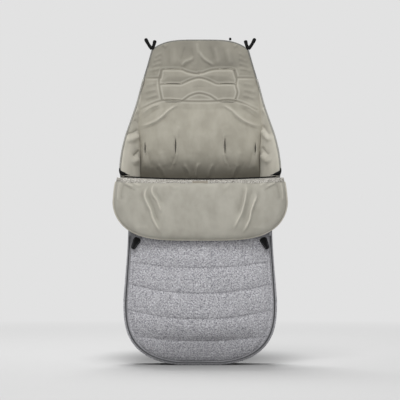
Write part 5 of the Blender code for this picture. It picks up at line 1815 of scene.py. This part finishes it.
@dataclass
class Cuff:
    """The folded top of the apron: a soft velour roll with long folds, and the outer cloth at its back.

    Its folds are in millimetres: those that run down from the crest, and the gathers beside them.
    """

    low_z: float = 0.3684
    top_z: float = 0.5575
    half: float = 0.2604
    top_half: float = 0.2500
    rounding: float = 0.1166
    inset: float = 0.0050
    edge: float = 0.0100
    middle: float = 0.0610
    ends: float = 0.0330
    sag: float = 0.0075
    horns: float = 0.0035
    strip_low: float = 0.0058
    strip_more: float = 0.0058
    strip_ragged: float = 0.0014
    strip_front: float = 0.0007
    strip_rear: float = 0.0008
    hem_inset: float = 0.0036
    hem_back: float = 0.0014
    hem_radius: float = 0.0023
    stitch_up: float = 0.0016
    stitch_front: float = 0.0024
    row_bunch: float = 0.5
    column_bunch: float = 0.45
    columns: int = 232
    rows: int = 104
    folds: Folds = folds_of(
        (7.0, 3.8, -149, 534, -160.6, 517, -163, 499, -155, 478, -146, 460, -139, 436, -126, 410, -113, 388),
        (-3.0, 4.5, -152, 520, -152, 502, -145, 484, -137, 466, -131, 444, -120, 420),
        (5.5, 3.6, -134, 540, -142, 522, -139, 505, -127, 488, -120, 470, -112, 448),
        (-2.4, 4.5, -125, 530, -130, 512, -120, 494, -111, 476),
        (-2.4, 5.0, -170, 520, -172, 496, -164, 472, -155, 446),
        (7.0, 3.8, 164, 514, 164.5, 497, 156, 476, 149, 456, 146, 436, 136, 412, 125, 390),
        (6.0, 3.8, 131, 541, 136, 522, 133, 501, 128.6, 476, 121, 451, 108.6, 426, 95, 396),
        (-3.2, 4.5, 150, 528, 151, 513, 144, 492, 138, 468, 132, 442, 122, 418),
        (-2.2, 5.0, 122, 528, 126, 508, 121, 484, 113, 462, 104, 440),
        (-2.2, 5.0, 172, 518, 172, 496, 165, 470, 158, 444),
        (3.0, 4.5, -232, 548, -215, 536, -196, 528),
        (-2.2, 4.5, -226, 536, -208, 524, -188, 515),
        (2.6, 4.5, -205, 548, -190, 536, -172, 530),
        (3.0, 4.5, 228, 548, 212, 536, 194, 528),
        (-2.2, 4.5, 222, 536, 204, 525, 186, 516),
        (2.6, 4.5, 203, 548, 188, 538, 172, 530),
        (1.6, 6.0, -90, 544, -82, 530, -66, 520),
        (1.6, 6.0, 88, 544, 80, 531, 64, 521),
        (1.4, 7.0, -196, 400, -178, 408, -150, 408),
        (1.4, 7.0, 196, 400, 176, 408, 150, 410),
    ) + both_sides(*folds_of(
        (3.8, 3.2, -236, 548, -243, 520, -245, 484),
        (-2.4, 4.0, -224, 542, -232, 514, -234, 484),
    ))

    def back_y(self, x: Array) -> Array:
        """Depth of its back, arched round the apron."""
        share = np.minimum(np.abs(x) / self.half, 1.0)
        return -self.ends - (self.middle - self.ends) * (1 - share**2)

    def outline(self, inset: float) -> Outline:
        """Its outline seen from the front.

        Args:
            inset: How far inside the cuff's own outline it runs.

        Returns:
            The outline.
        """
        low = self.low_z + self.rounding
        halves = (self.half, (self.half * 2 + self.top_half) / 3, self.top_half)
        side = SmoothLine((low, (low + self.top_z) / 2, self.top_z), halves)
        return Outline(side, self.low_z, low, self.top_z - inset, 4.0, 2.0, 0.0, inset, 0.0)

    def surface(self, s: Array, z: Array) -> tuple[Array, Array, Array]:
        """Points of the front, its painted shade and highlight as shares, for shares across and heights at the side.

        Args:
            s: Shares across, from -1 to 1.
            z: Heights of the rows at the side.

        Returns:
            The points and the two shares.
        """
        outline = self.outline(self.inset)
        up = np.abs(2 * (z - outline.corner_z) / (outline.top - outline.corner_z) - 1)
        x, height = outline.place(s, z, self.low_z + self.rounding, outline.top - BAG.gap)
        height = height + (self.horns * s**4 - self.sag * (1 - s * s)) * ramp(z, 0.480, outline.top)
        full = np.sqrt(np.maximum(0.0, 1 - up**2.8) * np.maximum(0.0, 1 - np.abs(s) ** 5))
        thick = BAG.rear_y - self.middle
        x_mm, z_mm = x / MM, height / MM
        folds = lift_of(self.folds, x_mm, z_mm)
        soft = Ripple(51, 34.0, 30.0)(x_mm, z_mm) + Ripple(52, 11.0, 12.0)(x_mm, z_mm) * 0.3
        y = self.back_y(x) - self.edge - (thick - self.edge - 0.003) * full
        y = y - (folds + soft) * MM * level(full * 2.2)
        # Painted shade in sunk folds and painted highlight on raised folds.
        crease = np.clip(-folds / 6, 0, 1) * 0.7
        ridge = 0.8 * np.clip(folds / 6, 0, 1) ** 1.4
        return at(x, y, height), crease, ridge

    def build(self) -> None:
        """Makes the roll, its back, its strip and tab, and the hem along its free edge."""
        outline = self.outline(self.inset)
        rows = spread(self.rows, outline.corner_z, outline.top)
        bunch = (1 - np.cos(math.pi * spread(self.rows, 0.0, 1.0))) / 2
        bunched = outline.corner_z + (outline.top - outline.corner_z) * bunch
        z = ((1 - self.row_bunch) * rows + self.row_bunch * bunched)[:, None]
        even = spread(self.columns)
        s = self.column_bunch * np.sin(math.pi / 2 * even) + (1 - self.column_bunch) * even
        s, z = np.broadcast_arrays(s[None, :], z)
        front, crease, ridge = self.surface(s, z)
        behind = front.copy()
        behind[..., 1] = self.back_y(front[..., 0])
        inner = lifted(behind, BAG.cloth + 0.0003)
        roll = sheet_of("cuff_roll", front, CUFF_VELOUR, inner, crease, None, ridge)
        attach(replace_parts(roll, "cuff_lining", "cuff_wadding"), "cuff")
        face = behind[::3, ::3]
        cloth = sheet_of("cuff_back", face[:, ::-1], CLOTH, lifted(face, BAG.cloth)[:, ::-1])
        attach(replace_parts(cloth, "cuff_shell"), "cuff")
        self.strips()
        self.hem()
        self.stitches(roll)

    def strip(self, s: Array) -> Array:
        """Height of the strip under the crest, uneven as the cloth is gathered."""
        ragged = Ripple(61, 0.075, 1.0)(s, s * 0) + 0.25 * Ripple(62, 0.026, 1.0)(s, s * 0)
        return self.strip_low + self.strip_more * ramp(np.abs(s), 0.25, 0.85) + self.strip_ragged * ragged

    def strips(self) -> None:
        """The melange strip under the crest, in two halves, with a velour tab between them."""
        top = self.outline(self.inset).top
        for name, node, start, end, finish, slot in (
            ("left_cuff_strip", "left_cuff_facing", -0.998, -0.096, STRIP, "melange"),
            ("right_cuff_strip", "right_cuff_facing", 0.096, 0.998, STRIP, "melange"),
            ("cuff_tab_cover", "cuff_tab", -0.090, 0.090, TAB_VELOUR, "velour"),
        ):
            s = spread(20 if node == "cuff_tab" else 90, start, end)[None, :]
            z = top - self.strip(s) * (1 - spread(12, 0.0, 1.0)[:, None])
            points = self.surface(np.broadcast_to(s, z.shape), z)[0]
            piece = sheet_of(name, lifted(points, self.strip_front), finish, lifted(points, -self.strip_rear))
            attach(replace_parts(piece, node), "cuff")

    def hem(self) -> None:
        """Piping along the free edge."""
        outline = self.outline(self.hem_inset)
        s = spread(90) * outline.corner_x
        low = np.stack([s, outline.foot(s)], axis=1)
        line = wrapped(outline, spread(40, outline.top - self.edge, outline.corner_z), low)
        points = at(line[:, 0], self.back_y(line[:, 0]) - self.edge + self.hem_back, line[:, 1])
        piece = tube_of("cuff_hem_cord", points, self.hem_radius, HEM, 10)
        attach(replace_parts(piece, "cuff_hem"), "cuff")

    def stitches(self, roll: Piece) -> None:
        """Dark thread under the strip, beside the tab.

        Args:
            roll: The roll; not used.
        """
        lines = []
        for start, end in ((-0.40, -0.10), (0.10, 0.40)):
            s = spread(120, start, end)[None, :]
            points = self.surface(s, self.outline(self.inset).top - self.strip(s) + self.stitch_up)[0]
            lines.append(points[0] + np.array([0, -self.stitch_front, 0]))
        row = SEAM_STITCH.along("cuff_stitches", lines)
        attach(row, "cuff")


CUFF = Cuff()


@dataclass
class Zips:
    """The zip round the front: woven tape, nylon teeth, two sliders and their pulls."""

    inset: float = 0.0075
    stand: float = 0.0014
    tape: float = 0.0008
    tooth_stand: float = 0.0012
    slider_z: float = 0.390
    link_x: float = 0.20776
    link_run: Triple = (-0.0252, -0.0018, -0.0096)
    link_half: float = 0.0040
    link_drop: float = 0.0046
    link_round: float = 0.004
    wire: float = 0.0008
    pull_long: float = 0.037
    pull_thick: float = 0.0024
    pull_lean: float = math.radians(26)
    pull_gap: float = 0.0011
    pull_slip: float = 0.0042
    pull_front: float = 0.0013
    pull_width: SmoothLine = SmoothLine(
        (0.0, 0.10, 0.22, 0.55, 0.86, 0.97, 1.0), (0.0110, 0.0195, 0.0220, 0.0182, 0.0136, 0.0100, 0.0060)
    )
    sewn_in: float = 0.0032
    sewn_front: float = 0.0015
    end_rise: float = 0.0200
    end_front: float = 0.0040
    end_line: Line = (
        (0.0020, 0.0085), (0.0012, 0.0005), (-0.0032, -0.0062), (-0.0105, -0.0092), (-0.0200, -0.0116),
        (-0.0290, -0.0132),
    )
    end_radius: SmoothLine = SmoothLine(
        (0.0, 0.22, 0.42, 0.60, 0.80, 1.0), (0.0012, 0.0030, 0.0058, 0.0052, 0.0022, 0.0007)
    )

    def path(self) -> Array:
        """Middle of the closed zip, from the left slider round the foot to the right one.

        Returns:
            The line's points, across and up.
        """
        angle = spread(150, -math.pi / 2, math.pi / 2)
        x, z = BAG.foot_line(angle, self.inset)
        z_side = spread(40, BAG.zip_top_z, BAG.foot_round_z + 0.0012)
        share = (z_side - BAG.foot_round_z) / (BAG.zip_top_z - BAG.foot_round_z)
        half = BAG.foot_half - self.inset + (BAG.waist_half - BAG.foot_half) * share
        left = np.stack([-half, z_side], axis=1)
        return np.vstack([left, np.stack([x, z], axis=1), left[::-1] * (-1, 1)])

    def build(self) -> None:
        """Makes the teeth in three runs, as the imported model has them, the pulls and the folded ends."""
        line = self.path()
        depth = BAG.zip_y - self.stand - self.tape
        straight = line[:, 1] > BAG.foot_round_z + 0.0006
        on_left, on_right = straight & (line[:, 0] < 0), straight & (line[:, 0] > 0)
        for name, node, chosen in (
            ("left_zip_teeth", "left_zip_chain", on_left),
            ("right_zip_teeth", "right_zip_chain", on_right),
            ("foot_zip_teeth", "foot_zip_chain", ~straight),
        ):
            row = TEETH.along(name, [at(line[chosen, 0], depth - self.tooth_stand, line[chosen, 1])])
            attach(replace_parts(row, node), "bag")
        for name in ("left_zip_tape", "right_zip_tape", "foot_zip_tape"):
            self.finish_solid(name, TAPE)
        for side, sign in SIDES:
            self.finish_solid(f"{side}_zip_slider", ENAMEL)
            self.pull(side, sign)
            self.fold_end(side, sign)

    @staticmethod
    def finish_solid(name: str, finish: Finish) -> None:
        """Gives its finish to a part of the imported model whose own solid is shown."""
        FRAME["nodes"][name].data.materials.clear()
        FRAME["nodes"][name].data.materials.append(finish.made())

    def pull(self, side: str, sign: int) -> None:
        """The wire link and the webbing pull of one slider.

        Args:
            side: Its side, left or right.
            sign: -1 on the left, 1 on the right.
        """
        low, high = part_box(f"{side}_pull_link")
        top = np.array([sign * self.link_x, (low.y + high.y) / 2, self.slider_z])
        end = top + np.array(self.link_run) * (sign, 1, 1)
        reach = np.array([self.link_half, 0, 0])
        down = np.array([0, 0, -self.link_drop])
        corners = (top - reach, top + reach, top + reach + down, end + reach, end - reach, top - reach + down)
        ring = []
        for i, corner in enumerate(corners):
            for other, shares in ((corners[i - 1], (0.30, 0.12)), (corners[(i + 1) % len(corners)], (0.12, 0.30))):
                way = (other - corner) / np.linalg.norm(other - corner)
                ring += [corner + way * self.link_round * share for share in shares]
        link = tube_of(f"{side}_pull_wire", np.array(ring), self.wire, ENAMEL, 10, True)
        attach(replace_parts(link, f"{side}_pull_link"), f"{side}_pull")
        tilt, drop = math.sin(self.pull_lean), math.cos(self.pull_lean)
        lean = np.array([sign * tilt, 0, -drop])
        start = end + lean * (self.pull_gap + self.pull_slip * tilt)
        shares = spread(30, 0.0, 1.0)
        path = start + lean * self.pull_long * shares[:, None] + np.array([0, -self.pull_front, 0])
        strap = ribbon_of(f"{side}_pull_strap", path, self.pull_width(shares), self.pull_thick, BLACK)
        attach(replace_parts(strap, f"{side}_pull_loop"), f"{side}_pull")
        edges = []
        inner = shares[(shares > 0.18) & (shares < 0.90)]
        aside = (self.pull_width(inner) / 2 - self.sewn_in)[:, None]
        for way in (-1, 1):
            across = np.array([drop, 0, sign * tilt]) * way
            line = start + lean * self.pull_long * inner[:, None] + across * aside
            edges.append(line + np.array([0, -self.sewn_front, 0]))
        row = PULL_STITCH.along(f"{side}_pull_stitches", edges)
        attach(row, f"{side}_pull")

    def fold_end(self, side: str, sign: int) -> None:
        """The black end of the open zip, folded over where the wing meets the crest.

        Args:
            side: Its side, left or right.
            sign: -1 on the left, 1 on the right.
        """
        top = BAG.crest_z + self.end_rise
        x = float(BAG.side()(np.array(top))) - BAG.gusset / 2
        y = float(BAG.front_y(np.array(BAG.crest_z))) - 2 * BAG.piping - self.end_front
        points = np.array([(sign * (x + a), y, top + b) for a, b in smoothed(self.end_line, 6)])
        radius = self.end_radius(spread(len(points) - 1, 0.0, 1.0))
        piece = tube_of(f"{side}_zip_end", points, radius, BLACK, 12)
        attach(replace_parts(piece, f"{side}_zip_fold"), "bag")


@dataclass
class Ties:
    """Short webbing ties at both top corners, and the loop end at the crown.

    Each tie has a name, the side that it bows to, its slope, its length, and how many layers in front it lies.
    """

    wide: float = 0.0106
    shape: SmoothLine = SmoothLine((0.0, 0.12, 0.5, 0.82, 0.94, 1.0), (0.8, 0.95, 0.9, 1.05, 0.9, 0.45))
    thick: float = 0.0012
    ties: tuple = (("outer", 1, 0.60, 0.0380, 2), ("inner", -1, -0.34, 0.0285, 1))
    loop_widths: tuple[float, ...] = (0.0070,) * 7 + (0.0062, 0.0050)
    bow: float = 0.0016

    def build(self) -> None:
        """Makes the four ties and the loop end."""
        outline = BAG.back_outline()
        half = float(outline.half(np.array(outline.top)))
        reach = BAG.piping + 2 * BAG.gap
        depth = BAG.rear_y - BAG.cloth - Back.edge_pad * MM / 2 - BAG.piping
        share = spread(16, 0.0, 1.0)
        widths = self.wide * self.shape(share)
        for side, sign in SIDES:
            foot = np.array([sign * (half + reach), 0, outline.top + reach])
            for place, lean, slope, length, layer in self.ties:
                way = np.array([sign * slope, 0, 1.0])
                way /= np.linalg.norm(way)
                bow = np.array([sign * lean, 0, 0]) * self.bow * np.sin(math.pi * share)[:, None]
                path = foot + way * length * share[:, None] + bow
                path[:, 1] = depth - layer * (self.thick + BAG.gap) + BAG.gap
                piece = ribbon_of(f"{side}_{place}_ribbon", path, widths, self.thick, BLACK)
                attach(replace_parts(piece, f"{side}_{place}_tie"), "bag")
        low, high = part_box("crown_loop_end")
        middle = (low.x + high.x) / 2
        path = np.array([(middle, low.y, low.z + (high.z - low.z) * share) for share in spread(8, 0.0, 1.0)])
        piece = ribbon_of("crown_loop_ribbon", path, np.array(self.loop_widths), self.thick, BLACK)
        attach(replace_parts(piece, "crown_loop_end"), "bag")


@dataclass
class Studio:
    """A pale round floor that sweeps up into a wall, soft lamps, and a long lens straight in front."""

    distance: float = 8.0
    view: float = 1.188
    sensor: float = 36.0
    middle: tuple[float, float] = (-0.0006, 0.4895)
    floor: str = "#B6B6B6"
    # Colour at the middle of the painted shadow under the bag.
    under: str = "#5E5E5E"
    wall: str = "#E2E2E2"
    sky: float = 0.42
    bend: float = 2.5
    flat: float = 7.0
    lamps: tuple = (
        ("top", (-0.30, 1.50, 3.2), 1.7, 120.0),
        ("key", (-0.45, -2.4, 3.2), 1.2, 73.0),
        ("front", (0.7, -4.6, 1.7), 3.4, 56.0),
    )

    def surface(self) -> bpy.types.Material:
        """Matt painted sweep: a painted shadow in a soft oval under the bag, plain and pale to the camera far behind
        it.

        Returns:
            The material.
        """
        material = bpy.data.materials.new("pale sweep")
        material.use_nodes = True
        tree = material.node_tree
        shader = tree.nodes["Principled BSDF"]
        place = add(tree, "ShaderNodeTexCoord").outputs["Object"]
        # Painted shadow: the floor turns darker in a soft oval round the bag's foot.
        oval = {"Vector": place, "Location": (0.0, 0.34, 0.0), "Scale": (0.40, 0.64, 1.0)}
        middle = add(tree, "ShaderNodeMapping", oval, vector_type="TEXTURE").outputs["Vector"]
        off, away = (
            add(tree, "ShaderNodeVectorMath", {0: vector}, operation="LENGTH").outputs["Value"]
            for vector in (middle, place)
        )
        soft = add(tree, "ShaderNodeMapRange", {"Value": off}, interpolation_type="SMOOTHSTEP").outputs[0]
        paint = {0: soft, 6: linear(self.under), 7: linear(self.floor)}
        colour = add(tree, "ShaderNodeMix", paint, data_type="RGBA").outputs[2]
        feed(shader, {"Base Color": colour, "Roughness": 0.95, "Specular IOR Level": 0.0})
        glow = add(tree, "ShaderNodeEmission", {"Color": linear(self.wall), "Strength": 1.0})
        far = add(tree, "ShaderNodeMapRange", {"Value": away, "From Min": 0.7, "From Max": 3.0}).outputs[0]
        seen = add(tree, "ShaderNodeLightPath").outputs["Is Camera Ray"]
        share = add(tree, "ShaderNodeMath", {0: far, 1: seen}, operation="MULTIPLY").outputs[0]
        mixed = add(tree, "ShaderNodeMixShader", {0: share, 1: shader.outputs[0], 2: glow.outputs[0]})
        feed(tree.nodes["Material Output"], {"Surface": mixed.outputs[0]})
        return material

    def build(self) -> None:
        """Makes the sweep, the lamps, the world and the camera."""
        quarter = spread(12, 0.0, math.pi / 2)
        bend = [(self.flat + self.bend * math.sin(a), self.bend - self.bend * math.cos(a)) for a in quarter]
        profile = np.array([(0.01, 0.0), (1.5, 0.0), (4.0, 0.0), *bend, (9.5, 3.4)])
        turn = spread(72, 0.0, 2 * math.pi)[:, None]
        reach, height = profile[:, 0], profile[:, 1]
        points = at(reach * np.cos(turn), reach * np.sin(turn), height)
        index = np.arange(points.size // 3).reshape(points.shape[:2])
        mesh = mesh_of("sweep", points.reshape(-1, 3).tolist(), quads(index)[:, ::-1].tolist())
        mesh.materials.append(self.surface())
        mesh.shade_smooth()
        linked("sweep", mesh)
        for lamp in self.lamps:
            self.lamp(*lamp)
        world = bpy.data.worlds.new("studio")
        bpy.context.scene.world = world
        world.use_nodes = True
        feed(world.node_tree.nodes["Background"], {"Color": linear("#FFFFFF"), "Strength": self.sky})
        bpy.context.scene.view_settings.view_transform = "Standard"
        self.camera()

    @staticmethod
    def lamp(name: str, place: Triple, size: float, power: float) -> None:
        """A square soft box turned to the middle of the bag.

        Args:
            name: The lamp's name.
            place: Where it stands.
            size: Length of its sides, in metres.
            power: Its power, in watts.
        """
        light = bpy.data.lights.new(name, "AREA")
        light.size = size
        light.energy = power
        lamp = linked(name, light)
        lamp.location = place
        aim = Vector((0, 0, 0.5)) - Vector(place)
        lamp.rotation_euler = aim.to_track_quat("-Z", "Y").to_euler()

    def camera(self) -> None:
        """A long lens straight in front, so that the view is nearly parallel."""
        data = bpy.data.cameras.new("camera")
        data.sensor_width = self.sensor
        data.lens = self.sensor * self.distance / self.view
        data.clip_end = 60.0
        camera = linked("camera", data)
        camera.location = (self.middle[0], -self.distance, self.middle[1])
        camera.rotation_euler = (math.pi / 2, 0, 0)
        bpy.context.scene.camera = camera


FRAME: dict = {}


def corners(box: tuple) -> list[list[float]]:
    """A box as two plain lists of numbers."""
    return [[float(c) for c in corner] for corner in box]


def main() -> None:
    """Builds the object and its studio, and reports each piece."""
    logging.basicConfig(level=logging.INFO, format="%(message)s")
    FRAME.update(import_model())
    Studio().build()
    for assembly in (Back(), Walls(), FootBox(), Apron(), CUFF, Zips(), Ties()):
        known = set(bpy.data.objects.keys())
        assembly.build()
        for name in sorted(set(bpy.data.objects.keys()) - known):
            LOG.info("%s: %s, %d faces", type(assembly).__name__, name, len(bpy.data.objects[name].data.polygons))


if __name__ == "__main__":
    main()
